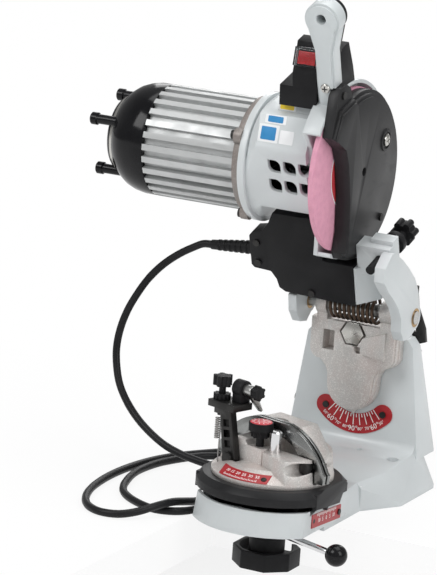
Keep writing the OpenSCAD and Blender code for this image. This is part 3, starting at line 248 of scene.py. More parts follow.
@dataclass(frozen=True)
class Moulded:
    """Moulded plastic with a fine spark-eroded grain."""

    name: str
    colour: Point
    rough: float = 0.5
    grain: float = 0.7
    depth: float = 0.05

    def make(self) -> bpy.types.Material:
        """Returns the material."""
        g = Graph(self.name)
        cloud = g.noise(34, 4)
        grain = g.noise(self.grain, 2)
        paler = [min(1, c * 1.3 + 0.006) for c in self.colour]
        colour = g.mix(g.span(cloud, 0.4, 0.72), self.colour, paler)
        scuff = g.span(g.noise(9, 5, (1, 0.25, 1)), 0.62, 0.74)
        rough = g.span(cloud, 0.3, 0.7, self.rough - 0.05, self.rough + 0.06) + scuff * 0.08
        return g.finish(colour, rough, grain, self.depth, Specular_IOR_Level=0.22)


@dataclass(frozen=True)
class Metal:
    """Bare or plated metal: brushed, cast or polished."""

    name: str
    colour: Point
    rough: float = 0.3
    grain: float = 0.8
    stretch: Point = (1, 1, 1)
    depth: float = 0.03
    stain: float = 0.2
    metallic: float = 1.0

    def make(self) -> bpy.types.Material:
        """Returns the material."""
        g = Graph(self.name)
        grain = g.noise(self.grain, 3, self.stretch)
        cloud = g.noise(16, 5)
        dull = [c * (1 - 1.4 * self.stain) for c in self.colour]
        colour = g.mix(g.span(cloud, 0.42, 0.7), self.colour, dull)
        fine = [c * (1 - 0.6 * self.stain) for c in self.colour]
        colour = g.mix(g.span(grain, 0.5, 0.75), colour, fine)
        rough = g.span(cloud, 0.3, 0.7, self.rough * 0.8, self.rough * 1.25)
        return g.finish(colour, rough, grain, self.depth, Metallic=self.metallic)


@dataclass(frozen=True)
class RawCasting:
    """A die casting left bare: mottled grey skin with flow marks, pits and bright rubbed places."""

    name: str
    colour: Point = (0.60, 0.585, 0.565)

    def make(self) -> bpy.types.Material:
        """Returns the material."""
        g = Graph(self.name)
        flow = g.noise(14, 5, (1, 1, 0.6))
        skin = g.noise(0.9, 3)
        pits = g.span(g.cells(3.4), 0.0, 0.14, 0, 1)
        bright = [min(1, c * 1.35) for c in self.colour]
        dark = [c * 0.80 for c in self.colour]
        warm = [self.colour[0] * 1.04, self.colour[1] * 0.96, self.colour[2] * 0.95]
        colour = g.mix(g.span(flow, 0.36, 0.64), warm, self.colour)
        colour = g.mix(g.span(skin, 0.5, 0.66) * 0.9, colour, bright)
        colour = g.mix((1 - pits) * 0.35, colour, dark)
        rough = g.span(skin, 0.3, 0.7, 0.42, 0.6)
        return g.finish(colour, rough, skin + flow * 0.3 + pits * 0.3, 0.10, Metallic=0.75)


@dataclass(frozen=True)
class Grit:
    """A vitrified abrasive wheel: pink, grainy and slightly mottled."""

    name: str = "pink_grit"

    def make(self) -> bpy.types.Material:
        """Returns the material."""
        g = Graph(self.name)
        grain = g.cells(0.42)
        cloud = g.noise(7, 5)
        colour = g.mix(g.span(cloud, 0.35, 0.65), (0.76, 0.31, 0.45), (0.66, 0.25, 0.38))
        colour = g.mix(g.span(grain, 0.1, 0.6) * 0.5, colour, (0.86, 0.50, 0.60))
        return g.finish(colour, 0.9, grain, 0.22)


@dataclass(frozen=True)
class Print:
    """A printed plate or film: an even colour under a thin clear coat."""

    name: str
    colour: Point
    rough: float = 0.34

    def make(self) -> bpy.types.Material:
        """Returns the material."""
        g = Graph(self.name)
        cloud = g.noise(12, 4)
        worn = g.span(g.noise(1.6, 4), 0.62, 0.8)
        paler = [min(1, c * 1.08 + 0.015) for c in self.colour]
        colour = g.mix(g.span(cloud, 0.4, 0.7), self.colour, paler)
        colour = g.mix(worn * 0.25, colour, [c * 0.82 for c in self.colour])
        rough = g.span(cloud, 0.3, 0.7, self.rough - 0.04, self.rough + 0.08)
        return g.finish(colour, rough, g.noise(0.6, 2), 0.008)


@dataclass(frozen=True)
class Clear:
    """A clear moulded cover, scuffed a little."""

    name: str = "clear_cover"

    def make(self) -> bpy.types.Material:
        """Returns the material."""
        g = Graph(self.name)
        scuff = g.span(g.noise(5, 5, (1, 0.2, 1)), 0.55, 0.72)
        return g.finish((0.93, 0.95, 0.96), g.span(scuff, 0, 1, 0.03, 0.12), scuff, 0.004,
                        Transmission_Weight=1.0, IOR=1.46)


@dataclass(frozen=True)
class Stage:
    """A floor that is white to the camera and in reflections and keeps the object's shadow."""

    name: str = "white_stage"
    glow: float = 0.88

    def make(self) -> bpy.types.Material:
        """Returns the material."""
        g = Graph(self.name)
        out = g.tree.nodes["Material Output"]
        seen = g.node("ShaderNodeLightPath", out="Is Camera Ray")
        mirrored = g.node("ShaderNodeLightPath", out="Is Glossy Ray")
        through = g.node("ShaderNodeLightPath", out="Is Transmission Ray")
        matt = g.node("ShaderNodeBsdfDiffuse", {}, {"Color": (0.86, 0.86, 0.86)})
        glow = g.node("ShaderNodeEmission", {}, {"Color": (1, 1, 1), "Strength": 1.0})
        far = g.node("ShaderNodeVectorMath", {"operation": "LENGTH"}, {0: g.place}, "Value")
        share = g.span(seen + mirrored + through, 0, 1) * g.span(far, 0.3, 0.62, self.glow, 1.0)
        g.feed(out.inputs["Surface"], g.node("ShaderNodeMixShader", {}, {0: share, 1: matt, 2: glow}))
        return g.material


class Finish(Enum):
    """The finishes of the grinder."""

    ENAMEL = Enamel("grey_enamel", (0.63, 0.665, 0.675))
    HANDLE = Enamel("handle_enamel", (0.60, 0.64, 0.65), 0.32)
    BLACK = Moulded("black_plastic", (0.006, 0.006, 0.007))
    GUARD = Moulded("guard_plastic", (0.020, 0.020, 0.021), 0.40, 0.9, 0.04)
    GLOSS = Moulded("black_gloss", (0.004, 0.004, 0.005), 0.14, 3.0, 0.02)
    CORD = Moulded("cord_sheath", (0.008, 0.008, 0.009), 0.40, 0.5, 0.02)
    PLATFORM = Moulded("black_enamel", (0.011, 0.011, 0.012), 0.40, 1.6, 0.03)
    CAST = RawCasting("raw_casting")
    FLANGE = RawCasting("flange_casting", (0.27, 0.25, 0.235))
    FINS = Metal("extruded_fins", (0.56, 0.57, 0.57), 0.50, 0.5, (0.02, 1, 1), 0.006, 0.04, 0.7)
    ZINC = Metal("bright_zinc", (0.56, 0.55, 0.52), 0.26, 0.7, (0.2, 1, 1), 0.004, 0.08)
    CLAMP = Metal("clamp_plate", (0.30, 0.305, 0.30), 0.24, 0.9, (1, 1, 0.15), 0.003, 0.10)
    CHROME = Metal("chrome", (0.72, 0.72, 0.73), 0.09, 1.2, (1, 1, 0.2), 0.003, 0.04)
    STEEL = Metal("ground_steel", (0.50, 0.50, 0.49), 0.30, 0.5, (1, 1, 1), 0.01, 0.2)
    BLACK_STEEL = Metal("black_oxide", (0.045, 0.044, 0.043), 0.42, 0.6, (1, 1, 1), 0.02, 0.25, 0.8)
    SPRING = Metal("spring_steel", (0.10, 0.065, 0.045), 0.34, 0.5, (1, 1, 1), 0.015, 0.3, 0.85)
    GREY_STEEL = Metal("fine_spring_wire", (0.42, 0.41, 0.40), 0.26, 0.4, (1, 1, 1), 0.01, 0.2)
    BRONZE = Metal("bush_bronze", (0.46, 0.30, 0.14), 0.34, 0.6, (1, 1, 1), 0.02, 0.2)
    WINDING = Metal("copper_winding", (0.50, 0.20, 0.10), 0.38, 0.6, (1, 0.1, 1), 0.10, 0.3)
    LAMINATION = Metal("core_laminations", (0.25, 0.25, 0.26), 0.40, 0.5, (1, 0.02, 0.02), 0.05, 0.2)
    GRIT = Grit()
    RED_PLATE = Print("red_plate", (0.37, 0.008, 0.014))
    PINK_PLATE = Print("pink_red_plate", (0.62, 0.07, 0.09))
    RED_PAPER = Print("red_paper", (0.52, 0.03, 0.04), 0.6)
    WHITE_INK = Print("white_ink", (0.86, 0.86, 0.85))
    WHITE_FILM = Print("white_film", (0.84, 0.85, 0.86))
    BLUE_FILM = Print("blue_film", (0.03, 0.24, 0.52))
    YELLOW_FILM = Print("yellow_film", (0.86, 0.62, 0.03))
    RED_PLASTIC = Moulded("red_plastic", (0.55, 0.015, 0.02), 0.25, 1.5, 0.02)
    CLEAR = Clear()
    FLOOR = Stage()


@lru_cache(maxsize=None)
def paint(finish: Finish) -> bpy.types.Material:
    """Returns the material of a finish, made when it is first asked for."""
    return finish.value.make()


# ---------------------------------------------------------------- modelling


def arc(centre: Point, radius: float, start: float, end: float, steps: int) -> list[tuple[float, float]]:
    """Points along an arc round a centre, between two angles in degrees."""
    angles = [math.radians(start + (end - start) * i / steps) for i in range(steps + 1)]
    return [(centre[0] + radius * math.cos(a), centre[1] + radius * math.sin(a)) for a in angles]


def alone(thing: bpy.types.Object) -> None:
    """Leaves one object selected and active, in object mode.

    Args:
        thing: The object.
    """
    if bpy.context.object and bpy.context.object.mode != "OBJECT":
        bpy.ops.object.mode_set(mode="OBJECT")
    for other in bpy.context.selected_objects:
        other.select_set(False)
    thing.select_set(True)
    bpy.context.view_layer.objects.active = thing


class Piece:
    """A mesh on the bench: started from a primitive, shaped with operators and then fitted to a body."""

    def __init__(self, thing: bpy.types.Object, name: str) -> None:
        """Takes over an object under a new name."""
        self.thing = thing
        thing.name = thing.data.name = name

    # -- starts

    @classmethod
    def slab(cls, name: str, outline: Sequence[Point], plane: Plane, start: float, end: float) -> "Piece":
        """A flat outline drawn out to a thickness, in millimetres.

        Args:
            name: The piece's name.
            outline: The outline's corners, in order.
            plane: The plane that they lie in.
            start: The depth of the outline.
            end: The depth that it is drawn out to.

        Returns:
            The piece.
        """
        bpy.ops.mesh.primitive_circle_add(vertices=len(outline), radius=MM, fill_type="NGON")
        piece = cls(bpy.context.object, name)
        for vertex, (a, b) in zip(piece.thing.data.vertices, outline):
            vertex.co = Vector(plane.place(a, b, start)) * MM
        piece.edit()
        bpy.ops.mesh.extrude_region_move(
            TRANSFORM_OT_translate={"value": plane.normal * (end - start) * MM, "orient_type": "GLOBAL"})
        piece.outward()
        return piece

    @classmethod
    def lathe(cls, name: str, profile: Sequence[Point], plane: Plane, centre: Point = (0, 0),
              steps: int = 64) -> "Piece":
        """A closed profile turned round an axis, in millimetres.

        Args:
            name: The piece's name.
            profile: The profile's corners as depth along the axis and radius.
            plane: The plane that the piece is round in.
            centre: Where the axis crosses that plane.
            steps: How many sides the round has.

        Returns:
            The piece.
        """
        bpy.ops.mesh.primitive_circle_add(vertices=len(profile), radius=MM, fill_type="NOTHING")
        piece = cls(bpy.context.object, name)
        for vertex, (along, radius) in zip(piece.thing.data.vertices, profile):
            vertex.co = Vector(plane.place(centre[0], centre[1] + radius, along)) * MM
        piece.edit()
        middle = Vector(plane.place(*centre, 0)) * MM
        bpy.ops.mesh.spin(steps=steps, angle=math.tau, center=middle, axis=plane.normal)
        piece.outward()
        return piece

    @classmethod
    def block(cls, name: str, low: Point, high: Point) -> "Piece":
        """A box between two corners, in millimetres.

        Args:
            name: The piece's name.
            low: Its lowest corner.
            high: Its highest corner.

        Returns:
            The piece, for more shaping.
        """
        bpy.ops.mesh.primitive_cube_add(size=1)
        piece = cls(bpy.context.object, name)
        middle = (Vector(low) + Vector(high)) / 2
        size = Vector(high) - Vector(low)
        piece.thing.data.transform(Matrix.Translation(middle * MM) @ Matrix.Diagonal((*(size * MM), 1)))
        return piece

    @classmethod
    def from_node(cls, node: str, name: Optional[str] = None) -> "Piece":
        """A merged copy of a CAD node's mesh.

        Args:
            node: The node.
            name: The piece's name, or None for one after the node.

        Returns:
            The piece, with flat faces joined again.
        """
        thing = bpy.data.objects.new("copy", frame["nodes"][node].data.copy())
        bpy.context.scene.collection.objects.link(thing)
        thing.data.materials.clear()
        piece = cls(thing, name or f"{node}_shell")
        alone(thing)
        bpy.ops.mesh.customdata_custom_splitnormals_clear()
        piece.edit()
        bpy.ops.mesh.remove_doubles(threshold=2e-6)
        bpy.ops.mesh.dissolve_limited(angle_limit=math.radians(0.6))
        piece.leave()
        return piece

    @classmethod
    def tube(cls, name: str, path: Sequence[Point], radius: float, sides: int = 12) -> "Piece":
        """A round wire along points in metres, with closed ends.

        Args:
            name: The piece's name.
            path: The points.
            radius: Its radius in metres.
            sides: How many sides it has.

        Returns:
            The piece.
        """
        curve = bpy.data.curves.new(name, "CURVE")
        curve.dimensions = "3D"
        curve.bevel_depth, curve.bevel_resolution, curve.use_fill_caps = radius, max(0, sides // 4 - 1), True
        spline = curve.splines.new("POLY")
        spline.points.add(len(path) - 1)
        for spot, at in zip(spline.points, path):
            spot.co = (*at, 1)
        thing = bpy.data.objects.new(name, curve)
        bpy.context.scene.collection.objects.link(thing)
        alone(thing)
        bpy.ops.object.convert(target="MESH")
        piece = cls(bpy.context.object, name)
        piece.edit()
        piece.outward()
        return piece

    @classmethod
    def strokes(cls, name: str, lines: Sequence[tuple[Point, Point]], width: float, plane: Plane, start: float,
                end: float) -> "Piece":
        """Straight bars in one piece, such as a scale's marks, in millimetres.

        Args:
            name: The piece's name.
            lines: Where each bar starts and ends.
            width: The width of a bar.
            plane: The plane that they lie in.
            start: The depth of their backs.
            end: The depth of their faces.

        Returns:
            The piece.
        """
        bars = []
        for a, b in lines:
            along = (Vector(b) - Vector(a)).normalized()
            side = Vector((-along.y, along.x)) * width / 2
            corners = [Vector(a) - side, Vector(b) - side, Vector(b) + side, Vector(a) + side]
            bars.append(cls.slab(name, corners, plane, start, end))
        return bars[0].add(*bars[1:]) if len(bars) > 1 else bars[0]

    @classmethod
    def words(cls, name: str, text: str, height: float, depth: float = 0.12) -> "Piece":
        """Raised figures, flat in the XY plane and centred at the origin.

        Args:
            name: The piece's name.
            text: The figures.
            height: Their height in millimetres.
            depth: How far they stand up, in millimetres.

        Returns:
            The piece.
        """
        bpy.ops.object.text_add()
        thing = bpy.context.object
        data = thing.data
        data.body, data.size, data.extrude = text, height * MM * 1.38, depth * MM / 2
        data.align_x, data.align_y, data.resolution_u = "CENTER", "CENTER", 2
        bpy.ops.object.convert(target="MESH")
        return cls(bpy.context.object, name)

    # -- shaping

    def edit(self) -> "Piece":
        """Enters edit mode with all of it selected."""
        alone(self.thing)
        bpy.ops.object.mode_set(mode="EDIT")
        bpy.ops.mesh.select_all(action="SELECT")
        return self

    def leave(self) -> "Piece":
        """Goes back to object mode."""
        bpy.ops.object.mode_set(mode="OBJECT")
        return self

    def outward(self) -> "Piece":
        """Merges doubles, turns the faces outwards and leaves edit mode."""
        bpy.ops.mesh.select_all(action="SELECT")
        bpy.ops.mesh.remove_doubles(threshold=1e-6)
        bpy.ops.mesh.normals_make_consistent(inside=False)
        return self.leave()

    def modify(self, kind: str, **settings: object) -> "Piece":
        """Adds a modifier of a kind, with its settings, and applies it."""
        alone(self.thing)
        modifier = self.thing.modifiers.new(kind, kind)
        for key, value in settings.items():
            setattr(modifier, key, value)
        bpy.ops.object.modifier_apply(modifier=modifier.name)
        return self

    def bevel(self, width: float, segments: int = 2, angle: float = 28) -> "Piece":
        """Rounds the edges over an angle in degrees, to a width in millimetres."""
        return self.modify("BEVEL", width=width * MM, segments=segments, limit_method="ANGLE",
                           angle_limit=math.radians(angle), miter_outer="MITER_ARC", use_clamp_overlap=True)

    def cut(self, *tools: "Piece") -> "Piece":
        """Takes other pieces out of this one, which uses them up."""
        for tool in tools:
            self.modify("BOOLEAN", operation="DIFFERENCE", object=tool.thing, solver="EXACT")
            bpy.data.objects.remove(tool.thing)
        return self

    def add(self, *others: "Piece") -> "Piece":
        """Joins other pieces to this one as they are."""
        alone(self.thing)
        for other in others:
            other.thing.select_set(True)
        bpy.ops.object.join()
        return self

    def move(self, matrix: Matrix) -> "Piece":
        """Moves the mesh by a matrix."""
        self.thing.data.transform(matrix)
        return self

    def smooth(self, angle: float = 35) -> "Piece":
        """Shades it smooth where its faces meet at less than an angle in degrees."""
        alone(self.thing)
        bpy.ops.object.shade_smooth_by_angle(angle=math.radians(angle))
        return self

    def coat(self, finish: Finish, place: Matrix = WORLD) -> "Piece":
        """Puts the mesh in its place and gives it its finish."""
        self.thing.data.transform(place)
        self.thing.data.materials.clear()
        self.thing.data.materials.append(paint(finish))
        return self

    def fit(self, finish: Finish, body: str, place: Matrix = WORLD,
            replaces: Iterable[str] = ()) -> bpy.types.Object:
        """Ends the shaping: puts the piece in place, dresses it and fits it to a body.

        Args:
            finish: Its finish.
            body: The body that it rides on.
            place: What its mesh is moved by first.
            replaces: The CAD nodes that it stands for.

        Returns:
            The finished object.
        """
        self.coat(finish, place)
        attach(self.thing, body)
        if replaces:
            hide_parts(*replaces)
        return self.thing


def dress(node: str, finish: Finish) -> bpy.types.Object:
    """Gives a CAD node that stays as it is a finish, and returns its object."""
    thing = frame["nodes"][node]
    thing.data.materials.clear()
    thing.data.materials.append(paint(finish))
    return thing


def rounded(node: str, finish: Finish, width: float, segments: int = 2, angle: float = 28) -> bpy.types.Object:
    """Stands a copy with edges rounded to a width in millimetres in for a CAD node."""
    piece = Piece.from_node(node).bevel(width, segments, angle).smooth(40)
    return piece.fit(finish, BODY_OF[node], replaces=[node])


# ---------------------------------------------------------------- studio


@dataclass
class Studio:
    """The camera, the lamps and the white bench that the grinder is photographed on."""

    focal_px: float = 3162.2
    frame_px: tuple[int, int] = (437, 575)
    principal_px: tuple[float, float] = (244.23, 288.07)
    spot: Point = (1.0945, -2.3618, 0.7962)
    right: Point = (0.892, 0.4463, 0.0712)
    up: Point = (-0.1619, 0.1686, 0.9723)
    back: Point = (0.422, -0.8788, 0.2226)
    ambient: float = 0.34
    lamps: Sequence[tuple] = (
        ("key_lamp", (-0.9, -1.5, 1.7), (1.1, 1.1), 21.0),
        ("right_lamp", (1.7, -0.6, 1.2), (0.9, 1.3), 15.0),
        ("top_lamp", (0.1, 0.3, 1.9), (1.6, 1.2), 16.0),
        ("back_lamp", (-0.5, 1.8, 1.1), (1.4, 1.0), 10.0),
    )

    def shoot(self) -> None:
        """Sets up the camera at the photograph's viewpoint."""
        data = bpy.data.cameras.new("camera")
        camera = bpy.data.objects.new("camera", data)
        bpy.context.scene.collection.objects.link(camera)
        side = max(self.frame_px)
        data.sensor_width, data.sensor_fit = 36, "AUTO"
        data.lens = self.focal_px * data.sensor_width / side
        data.shift_x = (self.frame_px[0] / 2 - self.principal_px[0]) / side
        data.shift_y = (self.principal_px[1] - self.frame_px[1] / 2) / side
        data.clip_start, data.clip_end = 0.05, 50
        axes = Matrix((self.right, self.up, self.back)).transposed().to_4x4()
        camera.matrix_world = Matrix.Translation(self.spot) @ axes.to_quaternion().to_matrix().to_4x4()
        bpy.context.scene.camera = camera

    def light(self) -> None:
        """Lights the stage with soft boxes and a pale surround."""
        scene = bpy.context.scene
        scene.view_settings.view_transform = "Standard"
        world = scene.world or bpy.data.worlds.new("surround")
        scene.world = world
        world.use_nodes = True
        tree = world.node_tree
        back = tree.nodes["Background"]
        seen = tree.nodes.new("ShaderNodeLightPath")
        shown = tree.nodes.new("ShaderNodeMapRange")
        tree.links.new(seen.outputs["Is Camera Ray"], shown.inputs[0])
        shown.inputs[3].default_value, shown.inputs[4].default_value = self.ambient, 1.0
        back.inputs[0].default_value = (1, 1, 1, 1)
        tree.links.new(shown.outputs[0], back.inputs[1])
        aim = Vector((-0.02, 0.08, 0.18))
        for name, spot, size, power in self.lamps:
            data = bpy.data.lights.new(name, "AREA")
            data.shape, data.size, data.size_y, data.energy = "RECTANGLE", size[0], size[1], power
            lamp = bpy.data.objects.new(name, data)
            scene.collection.objects.link(lamp)
            lamp.location = spot
            lamp.rotation_mode = "QUATERNION"
            lamp.rotation_quaternion = (aim - Vector(spot)).to_track_quat("-Z", "Y")

    def bench(self) -> None:
        """Makes the bench top, notched round the vise's nose, and the floor below it."""
        notch = [(-60, -3000), (-60, 18), (3000, 18), (3000, 3000), (-3000, 3000), (-3000, -3000)]
        top = Piece.slab("bench_top", notch, Plane.XY, -40, 0)
        square = [(-3000, -3000), (3000, -3000), (3000, 3000), (-3000, 3000)]
        low = Piece.slab("low_floor", square, Plane.XY, -90, -60)
        for piece in (top, low):
            piece.coat(Finish.FLOOR).thing


# ---------------------------------------------------------------- cord


@dataclass
class MainsCord:
    """The mains cord: out of the strain relief, round two loops on the bench and into a coil."""

    diameter: float = 7.0
    relief_len: float = 43
    relief_droop: float = 6
    relief_at: Point = (-86, -22, 57)
    coil_at: Point = (-50.5, 285)
    coil_in: float = 31.5
    pitch: float = 7.6
    turns: int = 4
    coil_z: float = 4.2
    lead: float = 9
    points: Sequence[Point] = (
        (-146, 113, 198.5), (-160, 111.5, 190), (-174, 109, 178.5), (-186, 106, 164.5), (-195, 102.5, 149),
        (-202, 99, 133), (-206, 95, 116), (-206.5, 91, 99), (-203, 87, 83), (-196, 82, 68), (-185, 78, 54),
        (-171, 74, 42), (-155, 70, 32.5), (-138, 67, 25), (-120, 66, 20), (-102, 65, 17.5), (-85, 63, 16),
        (-71, 55, 13.5), (-62, 41, 9), (-58, 24, 5), (-57, 6), (-57, -12), (-60, -29), (-70, -42),
        (-86, -47.5), (-102, -42.5), (-118, -33), (-131, -20.5), (-140, -5), (-146, 12), (-150.5, 29),
        (-153, 46), (-152.5, 64), (-150, 81), (-145, 96), (-138.5, 111), (-130, 125.5), (-117, 136),
        (-101, 137), (-88, 129), (-81, 114), (-79.5, 97), (-76, 80), (-72, 62), (-69, 44), (-67.5, 26),
        (-67, 9), (-67.5, -8, 5), (-69, -25, 8.5), (-73, -42, 11.2), (-80, -58, 10), (-90, -72, 6.5),
        (-103, -82, 4.2), (-120, -84), (-135, -76), (-146, -62), (-154, -45), (-159.5, -27), (-163, -8),
        (-165, 11), (-165.5, 30), (-164.5, 49), (-162, 68), (-158, 86), (-152, 103), (-144, 119),
        (-134.5, 134), (-124, 148.5), (-113.5, 163), (-105, 179), (-99, 196), (-96.5, 214), (-97, 232),
        (-97, 250, 4), (-97, 264, 4.2),
    )
    bench_z: float = 3.6
    to_plug: Sequence[Point] = (
        (-98, 295, 11.3), (-101, 304.5, 10.6), (-105.6, 313.5, 10.1), (-109.3, 320.7, 10.1),
    )
    head_end: int = 5
    swivel_end: int = 12

    def coil_point(self, t: float) -> Vector:
        """A point of the coil after t turns, in millimetres."""
        radius = self.coil_in + self.pitch * abs(t - self.turns / 2)
        climb = self.pitch * min(1, max(0, (t - self.turns / 2 + 0.25) * 2))
        a = math.radians(180 - 360 * t)
        return Vector((self.coil_at[0] + radius * math.cos(a), self.coil_at[1] + radius * math.sin(a),
                       self.coil_z + climb))

    def route(self) -> tuple[list[Vector], list[Vector]]:
        """The free cord's points and the coil's, in metres."""
        droop = math.radians(self.relief_droop)
        tip_dir = (HEAD.to_3x3() @ Vector((-math.cos(droop), 0, -math.sin(droop)))).normalized()
        tip = HEAD @ (Vector(self.relief_at) * MM) + self.relief_len * MM * tip_dir
        start = (self.coil_point(0) - Vector((0, self.lead, 0))) * MM
        spots = [Vector(p if len(p) == 3 else (*p, self.bench_z)) * MM for p in self.points]
        free = [tip, tip + self.lead * MM * tip_dir] + spots + [start]
        per_turn = 48
        coil = [start] + [self.coil_point(i / per_turn) * MM for i in range(self.turns * per_turn + 1)]
        coil += [Vector(p) * MM for p in self.to_plug]
        return free, coil

    @staticmethod
    def curved(points: Sequence[Vector], steps: int = 4) -> list[list[Vector]]:
        """Finer points between each two of a route, on one smooth curve.

        Args:
            points: The route.
            steps: How many stretches each gap gets.

        Returns:
            One list for each gap, from its first point up to its last.
        """
        spans = []
        for i in range(len(points) - 1):
            p = [points[max(0, i - 1)], points[i], points[i + 1], points[min(len(points) - 1, i + 2)]]
            spans.append([0.5 * ((2 * p[1]) + (p[2] - p[0]) * t + (2 * p[0] - 5 * p[1] + 4 * p[2] - p[3]) * t * t
                                 + (3 * p[1] - p[0] - 3 * p[2] + p[3]) * t ** 3)
                          for t in (k / steps for k in range(steps + 1))])
        return spans

    @staticmethod
    def length(path: Sequence[Vector]) -> float:
        """The length of a path."""
        return sum((b - a).length for a, b in zip(path, path[1:]))

    def build(self) -> None:
        """Makes the tubes, the plug and the tie."""
        free, coil = self.route()
        spans = self.curved(free)
        cuts = (0, self.head_end, self.swivel_end, len(spans))
        paths = []
        for first, last in zip(cuts, cuts[1:]):
            path = [p for span in spans[first:last] for p in span[:-1]] + [spans[last - 1][-1]]
            paths.append(path)
        paths[2] += coil[1:]
        radius = self.diameter * MM / 2
        tubes = [Piece.tube(name, path, radius, 16).smooth(60)
                 for name, path in zip(("cord_from_head", "cord_fall", "cord_on_bench"), paths)]
        plug = rounded("mains_plug", Finish.BLACK, 0.8)
        tie = rounded("cord_tie", Finish.BLACK, 0.2, 1)
        dress("plug_pins", Finish.ZINC)
        for tube in tubes:
            tube.coat(Finish.CORD)
        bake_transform(tubes[0].thing)
        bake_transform(tubes[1].thing)
        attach(tubes[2].thing, "base")
        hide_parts("mains_cord")
        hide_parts("mains_cord", "cord_coil")
        ends = ("object", "object", "plug")
        lays = ("hanging", "hanging", "loose")
        for tube, path, end, lay in zip(tubes, paths, ends, lays):
            [plug, tie, "plug_pins"] if end == "plug" else []


# ---------------------------------------------------------------- scales


